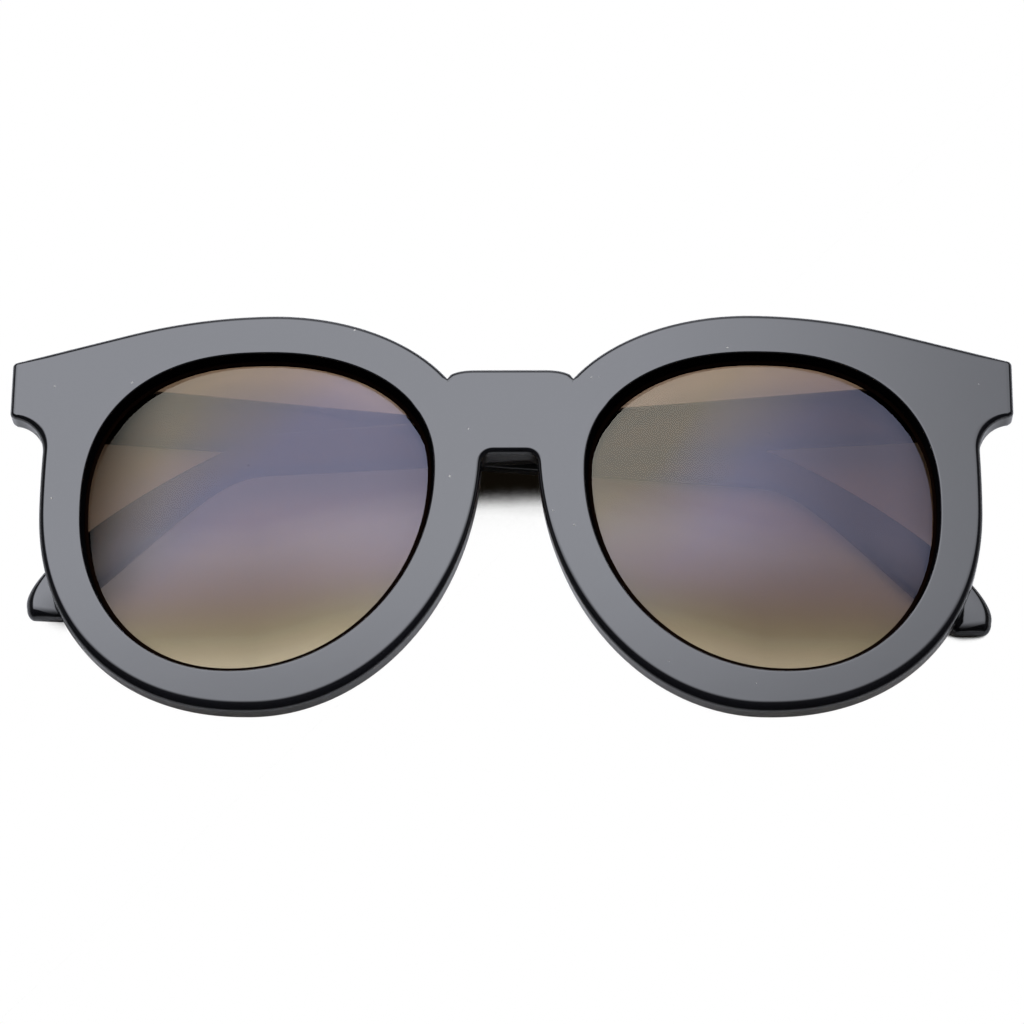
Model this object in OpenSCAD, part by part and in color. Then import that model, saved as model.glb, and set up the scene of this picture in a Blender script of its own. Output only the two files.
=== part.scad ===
// Oversized round sunglasses, folded and lying on the folded temples, front face up.
// Width runs along X, the brow is at +Y and the front face looks along +Z.

/* [Front] */
// Thickness of the front from face to back
front_t = 5.0; // [4.9:0.1:5.8]
// Radius of the gentle wrap that bends the front around the face
wrap_r = 900; // [700:10:2000]
// Rounding of the outer edge where the face meets the wall
face_edge_r = 0.8; // [0.5:0.05:1]
// Rounding of the outer edge at the back
back_edge_r = 1.5; // [1.2:0.1:1.8]

/* [Lens openings] */
// Width of one lens opening
lens_w = 53.3; // [52:0.1:55]
// Height of one lens opening
lens_h = 50.3; // [48.5:0.1:52]
// Distance between the two lens openings
bridge_w = 22.6; // [22:0.1:23.4]
// Rounding of the opening's edge at the face
opening_edge_r = 0.5; // [0.3:0.05:0.7]
// Draft angle of the recess wall down to the lens
recess_draft = 12; // [6:0.5:15]
// Depth of the lens edge below the face
recess_d = 2.5; // [2.3:0.05:2.55]

/* [Rims and bridge] */
// Rim width above the opening
rim_top = 6.2; // [5.7:0.1:6.8]
// Rim width below the opening
rim_bottom = 6.2; // [5.7:0.1:6.8]
// Rim width beside the opening on the temple side
rim_side = 6.3; // [5.8:0.1:6.8]
// Height of the bridge's top edge above the lens middle
bridge_top = 22.3; // [21.7:0.1:22.9]
// Height of the nose arch above the lens middle
arch_top = 8.9; // [8.3:0.1:9.6]
// Half width of the nose gap where it is narrowest
nose_half_gap = 4.1; // [3.7:0.1:4.6]
// Corner radius of the nose arch
arch_corner_r = 1.7; // [1.2:0.1:2.1]
// Half width of the round lobe over each lens, from its top towards the bridge
lobe_reach = 31.2; // [30.6:0.1:31.9]
// Height of the lobe's curve from its middle to its top
lobe_rise = 20.8; // [20:0.1:21.6]
// Drop of the small notch where the bridge meets the lobe
notch_drop = 1.35; // [1:0.05:1.6]
// Radius of the brow line outside the lobe's top
brow_r = 92; // [84:1:100]
// Slope at which the brow line runs out to the end piece
brow_slope = 13.3; // [12.5:0.1:14.2]
// Reach of the end piece beyond the rim beside the lens
end_piece_reach = 5.0; // [4.6:0.1:5.4]
// Height of the end piece at the front's outer end
end_piece_h = 8.8; // [8.4:0.1:9.2]
// Fillet radius below the end piece
end_fillet_r = 5.5; // [5:0.1:6]
// Corner radius of the end piece
end_corner_r = 0.8; // [0.5:0.05:1]

/* [Lenses] */
// Thickness of a lens
lens_t = 1.6; // [1.5:0.05:1.65]
// Radius of the lens curve
lens_r = 150; // [140:1:190]
// Height of the bevel around the lens
bevel_h = 0.8; // [0.6:0.05:1]
// Clearance between the lens bevel and its groove
lens_gap = 0.12; // [0.08:0.01:0.15]

/* [Temples] */
// Reach of a temple from its hinge axis to its end
temple_reach = 143; // [140:0.5:146]
// Height of a temple at the hinge
temple_h = 8.8; // [8.5:0.1:9.1]
// Height of a temple where it starts to bend behind the ear
temple_bend_h = 6.3; // [5.9:0.1:6.6]
// Distance of the start of the ear bend from the hinge axis
bend_start = 105.5; // [101:0.5:108]
// Downward slope of the temple against the front
temple_slope = 4.3; // [3.8:0.1:5]
// Drop of the temple's tip below its hinge middle
tip_drop = 34.6; // [33:0.1:36]
// Width of the tip's straight cut
tip_w = 5.8; // [5.4:0.1:6.4]
// Thickness of a temple at the hinge
temple_t = 3.8; // [3.6:0.05:4]
// Thickness of a temple from its middle to the ear
temple_mid_t = 3.1; // [2.9:0.05:3.2]
// Thickness of a temple at its tip
temple_tip_t = 2.9; // [2.7:0.05:3.1]
// Rounding of a temple's long edges
temple_edge_r = 0.9; // [0.6:0.05:1.1]
// Diameter of the metal core inside a temple
core_d = 1.4; // [1.2:0.05:1.5]

/* [Hinges] */
// Inset of the hinge axis from the front's outer end
hinge_inset = 5.75; // [5.5:0.05:6]
// Distance of the hinge axis behind the front's seat
hinge_drop = 1.8; // [1.75:0.05:2]
// Distance of the hinge axis from the temple's inner face
hinge_side = 1.8; // [1.75:0.05:2]
// Outer diameter of the hinge barrel
barrel_d = 3.0; // [2.8:0.05:3.1]
// Diameter of the barrel's bore
bore_d = 1.5; // [1.4:0.05:1.6]
// Clearance all round between the screw and the bore
screw_gap = 0.05; // [0.03:0.01:0.08]
// Height of one knuckle
knuckle_h = 1.05; // [0.95:0.05:1.1]
// Gap between neighbouring knuckles
knuckle_gap = 0.1; // [0.08:0.01:0.15]
// Thickness of a hinge plate
plate_t = 0.8; // [0.7:0.05:0.9]
// Length of a hinge plate from the axis inwards
plate_l = 4.5; // [4:0.1:5]

/* [Nose pads] */
// Length of a nose pad
pad_l = 14.0; // [12:0.5:15]
// Width of a nose pad at its seat
pad_w = 4.4; // [4:0.1:4.8]
// Depth of a nose pad behind the front
pad_d = 4.2; // [3.5:0.1:4.5]

/* [Hidden] */

acetate = "#141416";
lens_tint = [0.55, 0.5, 0.46, 0.6];
steel = "#b9bcc0";

// Overrun of a cut past the faces that it opens
cut = 1;

// Extremes of the lens opening on the +X side, and the four curve exponents between them
nose_x = bridge_w / 2;
out_x = nose_x + lens_w;
top_share = 0.495;
bottom_share = 0.554;
nose_height_share = 0.126;
out_height_share = 0.015;
top_x = nose_x + top_share * lens_w;
bottom_x = nose_x + bottom_share * lens_w;
nose_y = nose_height_share * lens_h;
out_y = out_height_share * lens_h;
opening_top = lens_h / 2;
opening_powers = [2.22, 2.35, 2.17, 2.0];

// Superellipse ordinates for a share f of a quadrant
function quarter_cos(f, power) = pow(max(cos(90 * f), 0), 2 / power);
function quarter_sin(f, power) = pow(max(sin(90 * f), 0), 2 / power);

// Point of the opening: q runs clockwise from the nose over the top, the temple side and the bottom
function opening(q) =
  let (
    turn = q - 4 * floor(q / 4),
    quadrant = floor(turn),
    c = quarter_cos(turn - quadrant, opening_powers[quadrant]),
    s = quarter_sin(turn - quadrant, opening_powers[quadrant])
  )
  quadrant == 0 ? [top_x - (top_x - nose_x) * c, nose_y + (opening_top - nose_y) * s]
  : quadrant == 1 ? [top_x + (out_x - top_x) * s, out_y + (opening_top - out_y) * c]
  : quadrant == 2 ? [bottom_x + (out_x - bottom_x) * c, out_y - (opening_top + out_y) * s]
  : [bottom_x - (bottom_x - nose_x) * s, nose_y - (opening_top + nose_y) * c];

function unit(v) = v / norm(v);
function left_of(v) = [-v.y, v.x];
function opening_normal(q, step = 0.01) = left_of(unit(opening(q + step) - opening(q - step)));

// Points along an ellipse from angle a0 to a1, without the last one
function sweep(centre, rx, ry, a0, a1, count) =
  [for (i = [0:count - 1])
    let (a = a0 + (a1 - a0) * i / count)
    [centre.x + rx * cos(a), centre.y + ry * sin(a)]];

// Points along a straight line, without the last one
function line(from, to, count) = [for (i = [0:count - 1]) from + (to - from) * i / count];

// The roundings of the outer edges run as far in as they can, and less at the end piece's corners
open_run = max(face_edge_r, back_edge_r);
corner_run_share = 0.7;
corner_run = corner_run_share * end_corner_r;

// Adds to each point the place on the opening that it is joined to, and the room for its roundings
function joined(points, q0, q1, room0 = open_run, room1 = open_run) =
  [for (i = [0:len(points) - 1])
    let (f = i / len(points))
    [points[i].x, points[i].y, q0 + (q1 - q0) * f, room0 + (room1 - room0) * f]];

// Outer outline of the +X half, clockwise from the bridge's top middle
top_y = opening_top + rim_top;
bottom_y = -opening_top - rim_bottom;
side_x = out_x + rim_side;
end_x = side_x + end_piece_reach;
lobe_share = 0.4735;
lobe_x = nose_x + lobe_share * lens_w;
lobe_y = top_y - lobe_rise;
notch_angle = 180 - asin((bridge_top - notch_drop - lobe_y) / lobe_rise);
notch = [lobe_x + lobe_reach * cos(notch_angle), bridge_top - notch_drop];
shoulder_w = 3 * notch_drop;
shoulder = [notch.x - shoulder_w, bridge_top];
brow_end = [lobe_x + brow_r * sin(brow_slope), top_y - brow_r * (1 - cos(brow_slope))];
function brow_line(x) = brow_end.y - (x - brow_end.x) * tan(brow_slope);
end_top = brow_line(end_x);
end_bottom = end_top - end_piece_h;
end_lean = end_corner_r;
top_corner_x = end_x - end_lean - end_corner_r;
top_corner_mid = [top_corner_x, brow_line(top_corner_x) - end_corner_r / cos(brow_slope)];
low_corner_mid = [end_x - end_corner_r, end_bottom + end_corner_r];
side_share = 0.502;
side_mid = [nose_x + side_share * lens_w, out_y + end_corner_r];
side_reach = side_x - side_mid.x;
side_fall = side_mid.y - bottom_y;
side_power = 2.19;
side_bulge_share = 2.35;
side_bulge = side_bulge_share * side_reach;
fillet_y = end_bottom - end_fillet_r;
fillet_side_x = side_mid.x + side_reach * sqrt(1 - pow((fillet_y - side_mid.y) / side_bulge, 2));
fillet_mid = [fillet_side_x + end_fillet_r, fillet_y];
nose_mid_share = 0.213;
nose_mid = [side_mid.x, nose_mid_share * lens_h];
nose_reach = nose_mid.x - nose_half_gap;
nose_fall = nose_mid.y - bottom_y;
arch_angle = 180 + asin((nose_mid.y - arch_top + arch_corner_r) / nose_fall);
arch_side = [nose_mid.x + nose_reach * cos(arch_angle), arch_top - arch_corner_r];
arch_corner_mid = arch_side - [arch_corner_r, 0];

// Places round the opening, in quadrants from the nose, that the outline's runs are joined to
first_q = 4.25;
shoulder_q = 0.28;
notch_q = [0.33, 0.34];
lobe_top_q = 0.97;
brow_q = 1.27;
top_corner_q = [1.46, 1.475];
end_mid_q = 1.52;
low_corner_q = [1.57, 1.585];
fillet_q = [1.59, 1.75];
side_q = 2;
bottom_q = 3;
arch_corner_q = [4.045, 4.06];
arch_top_q = 4.07;
arch_q = 4.12;
seam_shares = [0.33, 0.67];
seam_points = len(seam_shares);

outline = concat(
  joined(line([0, bridge_top], shoulder, 2), first_q - 4, shoulder_q),
  joined(sweep([shoulder.x, notch.y], shoulder_w, notch_drop, 90, 20, 3), shoulder_q, notch_q[0]),
  joined(sweep([lobe_x, lobe_y], lobe_reach, lobe_rise, notch_angle, 90, 9), notch_q[1], lobe_top_q),
  joined(sweep([lobe_x, top_y - brow_r], brow_r, brow_r, 90, 90 - brow_slope, 3), lobe_top_q, brow_q),
  joined(line(brow_end, [top_corner_x, brow_line(top_corner_x)], 3),
    brow_q, top_corner_q[0], open_run, corner_run),
  joined(sweep(top_corner_mid, end_corner_r, end_corner_r, 90 - brow_slope, 5, 3),
    top_corner_q[0], top_corner_q[1], corner_run, corner_run),
  joined([[end_x - end_lean / 2, (end_top + end_bottom) / 2]],
    end_mid_q, end_mid_q, corner_run, corner_run),
  joined(sweep(low_corner_mid, end_corner_r, end_corner_r, 0, -80, 3),
    low_corner_q[0], low_corner_q[1], corner_run, corner_run),
  joined(sweep(fillet_mid, end_fillet_r, end_fillet_r, 100, 180, 4),
    fillet_q[0], fillet_q[1], corner_run, open_run),
  joined(sweep(side_mid, side_reach, side_bulge, asin((fillet_y - side_mid.y) / side_bulge), 0, 3),
    fillet_q[1], side_q),
  joined([for (i = [0:9])
    let (f = i / 10)
    [side_mid.x + side_reach * quarter_cos(f, side_power),
      side_mid.y - side_fall * quarter_sin(f, side_power)]], side_q, bottom_q),
  joined(sweep(nose_mid, nose_reach, nose_fall, 270, arch_angle, 12), bottom_q, arch_corner_q[0]),
  joined(sweep(arch_corner_mid, arch_corner_r, arch_corner_r, 0, 90, 3), arch_corner_q[0], arch_corner_q[1]),
  joined(line([arch_corner_mid.x, arch_top], [0, arch_top], 1), arch_corner_q[1], arch_top_q),
  joined([[0, arch_top]], arch_q, arch_q),
  [for (share = seam_shares)
    [0, arch_top + share * (bridge_top - arch_top), arch_q + share * (first_q - arch_q), open_run]]
);
stations = len(outline);

function at(i) = outline[(i + stations) % stations];
function flat(p) = [p.x, p.y];

// The arch's end, the seam's inner points and the first point lie on the mirror plane
function on_seam(i) = at(i).x == 0;
function seam_inner(i) = i >= stations - seam_points;

// Direction from the outline into the rim
function inward(i) =
  seam_inner(i) ? [0, 0]
  : i == 0 ? [0, -1]
  : i == stations - seam_points - 1 ? [0, 1]
  : -left_of(unit(unit(flat(at(i + 1)) - flat(at(i))) + unit(flat(at(i)) - flat(at(i - 1)))));

// Heights in the front's own frame, whose zero plane holds both hinge axes
hinge_x = end_x - hinge_inset;
function wrap(x) = x * x / (2 * wrap_r);
seat_z = hinge_drop;
face_z = seat_z + front_t + wrap(hinge_x);
back_z = face_z - front_t;
hinge_y = end_top - temple_h / 2;
function bent(p, z) = [p.x, p.y, z - wrap(p.x)];

// Height of the middle surface of the lens over a point
lens_mid = [nose_x + lens_w / 2, 0];
lens_rest_r = (lens_w + lens_h) / 4;
function lens_z(p) =
  face_z - recess_d - lens_t / 2
  + (pow(lens_rest_r, 2) - pow(norm(p - lens_mid), 2)) / (2 * lens_r);

draft_in = (recess_d - opening_edge_r) * tan(recess_draft);
rear_edge_r = 0.2 * back_edge_r;
round_45 = 1 - cos(45);

// Closed section of the rim at one station: round the outer edge, over the face, down the recess,
// round the lens groove, and along the back
function rim_section(i) =
  let (
    p = flat(at(i)),
    q = at(i)[2],
    m = inward(i),
    face_run = min(face_edge_r, at(i)[3]),
    back_run = min(back_edge_r, at(i)[3]),
    o = opening(q),
    n = opening_normal(q),
    wall = o - draft_in * n,
    groove = o + (bevel_h - draft_in) * n
  )
  [
    bent(p, face_z - face_edge_r),
    bent(p + (1 - cos(30)) * face_run * m, face_z - (1 - sin(30)) * face_edge_r),
    bent(p + (1 - cos(60)) * face_run * m, face_z - (1 - sin(60)) * face_edge_r),
    bent(p + face_run * m, face_z),
    bent(o + opening_edge_r * n, face_z),
    bent(o + round_45 * opening_edge_r * n, face_z - round_45 * opening_edge_r),
    bent(o, face_z - opening_edge_r),
    bent(wall, lens_z(wall) + lens_t / 2),
    bent(groove, lens_z(groove)),
    bent(wall, lens_z(wall) - lens_t / 2),
    bent(wall, back_z + rear_edge_r),
    bent(wall + rear_edge_r * n, back_z),
    bent(p + back_run * m, back_z),
    bent(p + (1 - cos(60)) * back_run * m, back_z + (1 - sin(60)) * back_edge_r),
    bent(p + (1 - cos(30)) * back_run * m, back_z + (1 - sin(30)) * back_edge_r),
    bent(p, back_z + back_edge_r)
  ];
section_points = 16;
outer_front_points = 4;
outer_back_points = 4;

// The first and the last points of a section lie along the outline, the others round the opening
function outer_point(j) = j < outer_front_points || j >= section_points - outer_back_points;

// Two triangles between neighbouring points of neighbouring rings
function patch(a, b, c, d) = [[a, b, c], [a, c, d]];
function reversed(face) = [face[2], face[1], face[0]];

rim_faces = [
  for (i = [0:stations - 1], j = [0:section_points - 1])
    let (
      i2 = (i + 1) % stations,
      j2 = (j + 1) % section_points,
      open = on_seam(i) && on_seam(i2) && outer_point(j) && outer_point(j2)
    )
    if (!open)
      each patch(i * section_points + j, i2 * section_points + j,
        i2 * section_points + j2, i * section_points + j2)
];

// Both mirrored halves of the front as one closed skin
module front_skin() {
  half = [for (i = [0:stations - 1]) each rim_section(i)];
  mirrored = [for (p = half) [-p.x, p.y, p.z]];
  polyhedron(
    points = concat(half, mirrored),
    faces = concat(
      rim_faces,
      [for (f = rim_faces) reversed(f + [1, 1, 1] * len(half))]
    )
  );
}

// Closed skin over a row of rings, with both ends closed around their middles
module skin(rings) {
  rows = len(rings);
  count = len(rings[0]);
  first = ring_middle(rings[0]);
  last = ring_middle(rings[rows - 1]);
  polyhedron(
    points = concat([for (ring = rings) each ring], [first, last]),
    faces = concat(
      [for (j = [0:count - 1]) [rows * count, j, (j + 1) % count]],
      [for (i = [0:rows - 2], j = [0:count - 1])
        let (j2 = (j + 1) % count)
        each patch(i * count + j, (i + 1) * count + j, (i + 1) * count + j2, i * count + j2)],
      [for (j = [0:count - 1])
        [rows * count + 1, (rows - 1) * count + (j + 1) % count, (rows - 1) * count + j]]
    )
  );
}
function ring_middle(ring) = [for (k = [0:2]) sum([for (p = ring) p[k]]) / len(ring)];
function sum(list, i = 0) = i == len(list) ? 0 : list[i] + sum(list, i + 1);

// The front lies tilted by the thickness that the two stacked temples leave between the hinges
hinge_span = 2 * hinge_x;
stack_gap = 0.5;
stack_h = temple_mid_t + stack_gap;
tilt = asin(stack_h / hinge_span);
low_axis_z = hinge_side + temple_t;
high_axis_z = low_axis_z + stack_h;
axis_x = hinge_x * cos(tilt);

module in_front() {
  translate([0, 0, (low_axis_z + high_axis_z) / 2]) rotate([0, -tilt, 0]) children();
}

// The right temple is folded first and the left one lies under it, flat on the table
module in_left_temple() {
  translate([-axis_x, hinge_y, low_axis_z]) children();
}
module in_right_temple() {
  translate([axis_x, hinge_y, high_axis_z]) mirror([1, 0, 0]) children();
}

// Hinges: knuckles count from the lowest, the even ones belong to the front
knuckle_count = 5;
pitch = knuckle_h + knuckle_gap;
hinge_h = knuckle_count * pitch - knuckle_gap;
plate_out = barrel_d / 3;
anchor_share = 0.6;
anchor_t = 0.75 * plate_t;
function knuckle_y(k) = k * pitch - hinge_h / 2;

// Box between two corners
module block(a, b) {
  translate(a) cube(b - a);
}

// Plate that lies flush in its seat, with the narrower anchor that is sunk behind it
module hinge_anchor() {
  block([-plate_l, -hinge_h / 2, 0], [plate_out, hinge_h / 2, plate_t]);
  block([-anchor_share * plate_l, -anchor_share * hinge_h / 2, plate_t],
    [0, anchor_share * hinge_h / 2, plate_t + anchor_t]);
}

module barrel(y) {
  translate([0, y, 0]) rotate([-90, 0, 0]) cylinder(d = barrel_d, h = knuckle_h, $fn = 48);
}

module bore(y, length) {
  translate([0, y, 0]) rotate([-90, 0, 0]) cylinder(d = bore_d, h = length, $fn = 48);
}

// One hinge leaf on the side of +Z: the plate's face lies at the given height over the axis
module leaf(height, first) {
  difference() {
    union() {
      translate([0, 0, height]) hinge_anchor();
      for (k = [first:2:knuckle_count - 1]) {
        barrel(knuckle_y(k));
        block([-barrel_d / 2, knuckle_y(k), 0], [barrel_d / 2, knuckle_y(k) + knuckle_h, height]);
      }
    }
    bore(-hinge_h, 2 * hinge_h);
  }
}

module screw() {
  screw_d = bore_d - 2 * screw_gap;
  head_d = barrel_d - bore_d / 2;
  head_h = 0.5 * knuckle_h;
  translate([0, -hinge_h / 2, 0]) rotate([-90, 0, 0]) cylinder(d = screw_d, h = hinge_h, $fn = 48);
  translate([0, hinge_h / 2, 0]) rotate([-90, 0, 0]) cylinder(d = head_d, h = head_h, $fn = 48);
}

// Both hinge seats are cut flat in the wrapped back, with the pockets for the plates
module front_frame() {
  color(acetate) in_front() difference() {
    front_skin();
    for (side = [0, 1]) mirror([side, 0, 0]) translate([hinge_x, hinge_y, seat_z]) {
      block([-hinge_inset / 2, -end_piece_h, -front_t], [hinge_inset + cut, end_piece_h, 0]);
      hinge_anchor();
    }
  }
}

lens_ring_shares = [0.25, 0.5, 0.72, 0.88];

// One lens: the curved faces in rings, and the bevel between them
module lens() {
  function base(i) = opening(at(i)[2]) - (draft_in + lens_gap) * opening_normal(at(i)[2]);
  function tip(i) = opening(at(i)[2]) + (bevel_h - draft_in - lens_gap) * opening_normal(at(i)[2]);
  function ring(share, side) =
    [for (i = [0:stations - 1])
      let (p = lens_mid + share * (base(i) - lens_mid))
      bent(p, lens_z(p) + side * lens_t / 2)];
  fronts = concat([for (share = lens_ring_shares) ring(share, 1)], [ring(1, 1)]);
  backs = concat([ring(1, -1)], [for (k = [len(lens_ring_shares) - 1:-1:0]) ring(lens_ring_shares[k], -1)]);
  edge = [for (i = [0:stations - 1]) bent(tip(i), lens_z(tip(i)))];
  skin(concat(fronts, [edge], backs));
}
module lens_right() {
  color(lens_tint) in_front() lens();
}
module lens_left() {
  color(lens_tint) in_front() mirror([1, 0, 0]) lens();
}

// Nose pads: rings that narrow and lean outwards with their depth
pad_depth_shares = [0, 0.4, 0.7, 0.9, 1];
pad_size_shares = [1, 0.96, 0.84, 0.62, 0.3];
pad_lean_share = 0.22;
pad_lean_angle = 21;
pad_points = 20;
pad_place_shares = [0.84, -0.06];
module nose_pad() {
  place = [pad_place_shares.x * nose_x, pad_place_shares.y * lens_h];
  rest_z = back_z - wrap(place.x + pad_w);
  translate([place.x, place.y, rest_z]) rotate([0, 0, pad_lean_angle])
    skin([for (k = [0:len(pad_depth_shares) - 1])
      [for (j = [0:pad_points - 1])
        let (a = -360 * j / pad_points)
        [
          pad_lean_share * pad_d * pad_depth_shares[k] + pad_size_shares[k] * pad_w / 2 * cos(a),
          pad_size_shares[k] * pad_l / 2 * sin(a),
          -pad_depth_shares[k] * pad_d
        ]]]);
}
module nose_pad_right() {
  color(acetate) in_front() nose_pad();
}
module nose_pad_left() {
  color(acetate) in_front() mirror([1, 0, 0]) nose_pad();
}

// Temples: the outer face is flat, the edges follow straight lines and then the ear bend's curves
butt_gap = 0.25;
butt = hinge_drop - butt_gap;
slope_drop = tan(temple_slope);
function mid_y(s) = -s * slope_drop;
function edge_line(s, side) =
  [s, mid_y(s) + side / 2 * (temple_h + (temple_bend_h - temple_h) * s / bend_start)];
function bezier(a, b, c, d, u) =
  pow(1 - u, 3) * a + 3 * pow(1 - u, 2) * u * b + 3 * (1 - u) * u * u * c + pow(u, 3) * d;
ear_reach = temple_reach - bend_start;
tip_bottom = -tip_drop;
tip_corner = 2 * temple_edge_r;
top_edge_start = edge_line(bend_start, 1);
low_edge_start = edge_line(bend_start, -1);
ear_fall = top_edge_start.y - tip_bottom;
lead_shares = [0.22, 0.22];
top_tail_shares = [1.05, 0.7];
low_tail_shares = [0.24, 0.06];
function lead(side, share) = edge_line(bend_start + share * ear_reach, side);
function tail(start, shares) = start + [shares.x * ear_reach, -shares.y * ear_fall];
function top_edge(u) =
  bezier(top_edge_start, lead(1, lead_shares.x), tail(top_edge_start, top_tail_shares),
    [temple_reach, tip_bottom + tip_corner], u);
function low_edge(u) =
  bezier(low_edge_start, lead(-1, lead_shares.y), tail(low_edge_start, low_tail_shares),
    [temple_reach - tip_w, tip_bottom], u);

// Rounded section between a lower and an upper edge point, drawn in by the given amount
corner_points = 4;
function temple_ring(low, top, t, draw = 0) =
  let (
    along = unit(top - low),
    w = norm(top - low) - 2 * draw,
    h = t - 2 * draw,
    r = min(max(temple_edge_r - draw, temple_edge_r / 4), h / 2.1),
    mid = (top + low) / 2
  )
  [for (c = [0:3], k = [0:corner_points - 1])
    let (
      a = 90 * c + 90 * k / (corner_points - 1),
      sx = (c == 0 || c == 3) ? 1 : -1,
      sz = (c == 0 || c == 1) ? 1 : -1,
      across = sx * (w / 2 - r) + r * cos(a),
      up = sz * (h / 2 - r) + r * sin(a)
    )
    [mid.x + across * along.x, mid.y + across * along.y, t / 2 + up - low_axis_z]];

mid_shares = [0.07, 0.2, 0.4, 0.75];
hinge_flat_share = mid_shares[0];
taper_end_share = mid_shares[2];
function straight_t(share) =
  let (taper = (share - hinge_flat_share) / (taper_end_share - hinge_flat_share))
  temple_t + (temple_mid_t - temple_t) * min(max(taper, 0), 1);
ear_ring_count = 14;
tip_ring_count = 3;
module temple_skin() {
  butt_ease = temple_edge_r / 4;
  rings = concat(
    [temple_ring(edge_line(-butt, -1), edge_line(-butt, 1), temple_t, butt_ease)],
    [temple_ring(edge_line(butt_ease - butt, -1), edge_line(butt_ease - butt, 1), temple_t)],
    [for (share = mid_shares)
      temple_ring(edge_line(share * bend_start, -1), edge_line(share * bend_start, 1), straight_t(share))],
    [for (i = [0:ear_ring_count])
      let (u = i / ear_ring_count)
      temple_ring(low_edge(u), top_edge(u), temple_mid_t + (temple_tip_t - temple_mid_t) * u)],
    [for (i = [1:tip_ring_count])
      let (
        a = 90 * i / tip_ring_count,
        draw = temple_edge_r * (1 - cos(a)),
        top = [temple_reach, tip_bottom + tip_corner * (1 - sin(a))]
      )
      temple_ring(low_edge(1), top, temple_tip_t, draw)]
  );
  skin(rings);
}

// The metal core runs straight from the butt end and bends with the ear piece
core_start = -butt / 2;
core_bend = bend_start;
core_bend_r = 30;
core_bend_angle = 38;
core_tail = 12;
core_depth = temple_tip_t / 2;
core_gap = 0.05;
core_ring_count = 8;
core_points = 16;

// Round section across the core's path, turned by its downward angle
function core_ring(place, down, r) =
  [for (j = [0:core_points - 1])
    let (a = 360 * j / core_points)
    [
      place.x + r * cos(a) * sin(down),
      place.y + r * cos(a) * cos(down),
      core_depth - low_axis_z + r * sin(a)
    ]];

module core(grow, start) {
  r = core_d / 2 + grow;
  bend_mid = [core_bend, mid_y(core_bend)] - core_bend_r * [sin(temple_slope), cos(temple_slope)];
  function on_bend(down) = bend_mid + core_bend_r * [sin(down), cos(down)];
  last_down = temple_slope + core_bend_angle;
  core_end = on_bend(last_down) + (core_tail + grow) * [cos(last_down), -sin(last_down)];
  skin(concat(
    [core_ring([start, mid_y(start)], temple_slope, r)],
    [for (i = [0:core_ring_count])
      let (down = temple_slope + core_bend_angle * i / core_ring_count)
      core_ring(on_bend(down), down, r)],
    [core_ring(core_end, last_down, r)]
  ));
}

module temple() {
  difference() {
    temple_skin();
    core(core_gap, -butt - cut);
    translate([0, 0, -hinge_side]) mirror([1, 0, 0]) mirror([0, 0, 1]) hinge_anchor();
  }
}
module temple_left() {
  color(acetate) in_left_temple() temple();
}
module temple_right() {
  color(acetate) in_right_temple() temple();
}
module temple_core_left() {
  color(steel) in_left_temple() core(0, core_start);
}
module temple_core_right() {
  color(steel) in_right_temple() core(0, core_start);
}

module hinge_front_leaf_right() {
  color(steel) in_front() translate([hinge_x, hinge_y, 0]) leaf(hinge_drop, 0);
}
module hinge_front_leaf_left() {
  color(steel) in_front() mirror([1, 0, 0]) translate([hinge_x, hinge_y, 0]) leaf(hinge_drop, 0);
}
module hinge_temple_leaf_left() {
  color(steel) in_left_temple() mirror([1, 0, 0]) mirror([0, 0, 1]) leaf(hinge_side, 1);
}
module hinge_temple_leaf_right() {
  color(steel) in_right_temple() mirror([1, 0, 0]) mirror([0, 0, 1]) leaf(hinge_side, 1);
}
module hinge_screw_right() {
  color(steel) in_front() translate([hinge_x, hinge_y, 0]) screw();
}
module hinge_screw_left() {
  color(steel) in_front() mirror([1, 0, 0]) translate([hinge_x, hinge_y, 0]) screw();
}

front_frame();
lens_left();
lens_right();
nose_pad_left();
nose_pad_right();
temple_left();
temple_right();
temple_core_left();
temple_core_right();
hinge_front_leaf_left();
hinge_front_leaf_right();
hinge_temple_leaf_left();
hinge_temple_leaf_right();
hinge_screw_left();
hinge_screw_right();
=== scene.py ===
import math

import bpy
import bmesh
from mathutils import Matrix, Vector


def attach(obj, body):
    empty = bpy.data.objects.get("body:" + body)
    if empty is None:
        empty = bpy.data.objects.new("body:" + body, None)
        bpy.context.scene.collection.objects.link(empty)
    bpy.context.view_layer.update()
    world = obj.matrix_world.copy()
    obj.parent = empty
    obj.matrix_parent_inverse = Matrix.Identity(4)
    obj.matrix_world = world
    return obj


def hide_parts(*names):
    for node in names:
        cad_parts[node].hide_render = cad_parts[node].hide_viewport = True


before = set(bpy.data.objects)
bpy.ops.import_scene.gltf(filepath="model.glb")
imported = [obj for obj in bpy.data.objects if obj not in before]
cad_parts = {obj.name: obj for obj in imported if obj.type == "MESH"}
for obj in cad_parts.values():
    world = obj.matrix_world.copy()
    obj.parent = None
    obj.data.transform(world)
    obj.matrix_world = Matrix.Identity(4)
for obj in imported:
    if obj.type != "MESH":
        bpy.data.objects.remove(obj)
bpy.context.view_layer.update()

# Front
# The front is one plate of black cellulose acetate, 5 mm thick, cut to shape, bent to a gentle
# wrap and tumbled until its edges are round and its face is a mirror. Both lens openings have a
# slightly tapered recess, and the lenses snap into a V groove in its wall.
MM = 0.001
FRONT_T, WRAP_R = 5.0, 900.0
FACE_EDGE_R, LOW_EDGE_EXTRA, BACK_EDGE_R = 0.8, 0.55, 1.5
LENS_W, LENS_H, BRIDGE_W = 53.3, 50.3, 22.6
OPENING_EDGE_R, RECESS_EDGE_R = 0.5, 0.22
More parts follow.
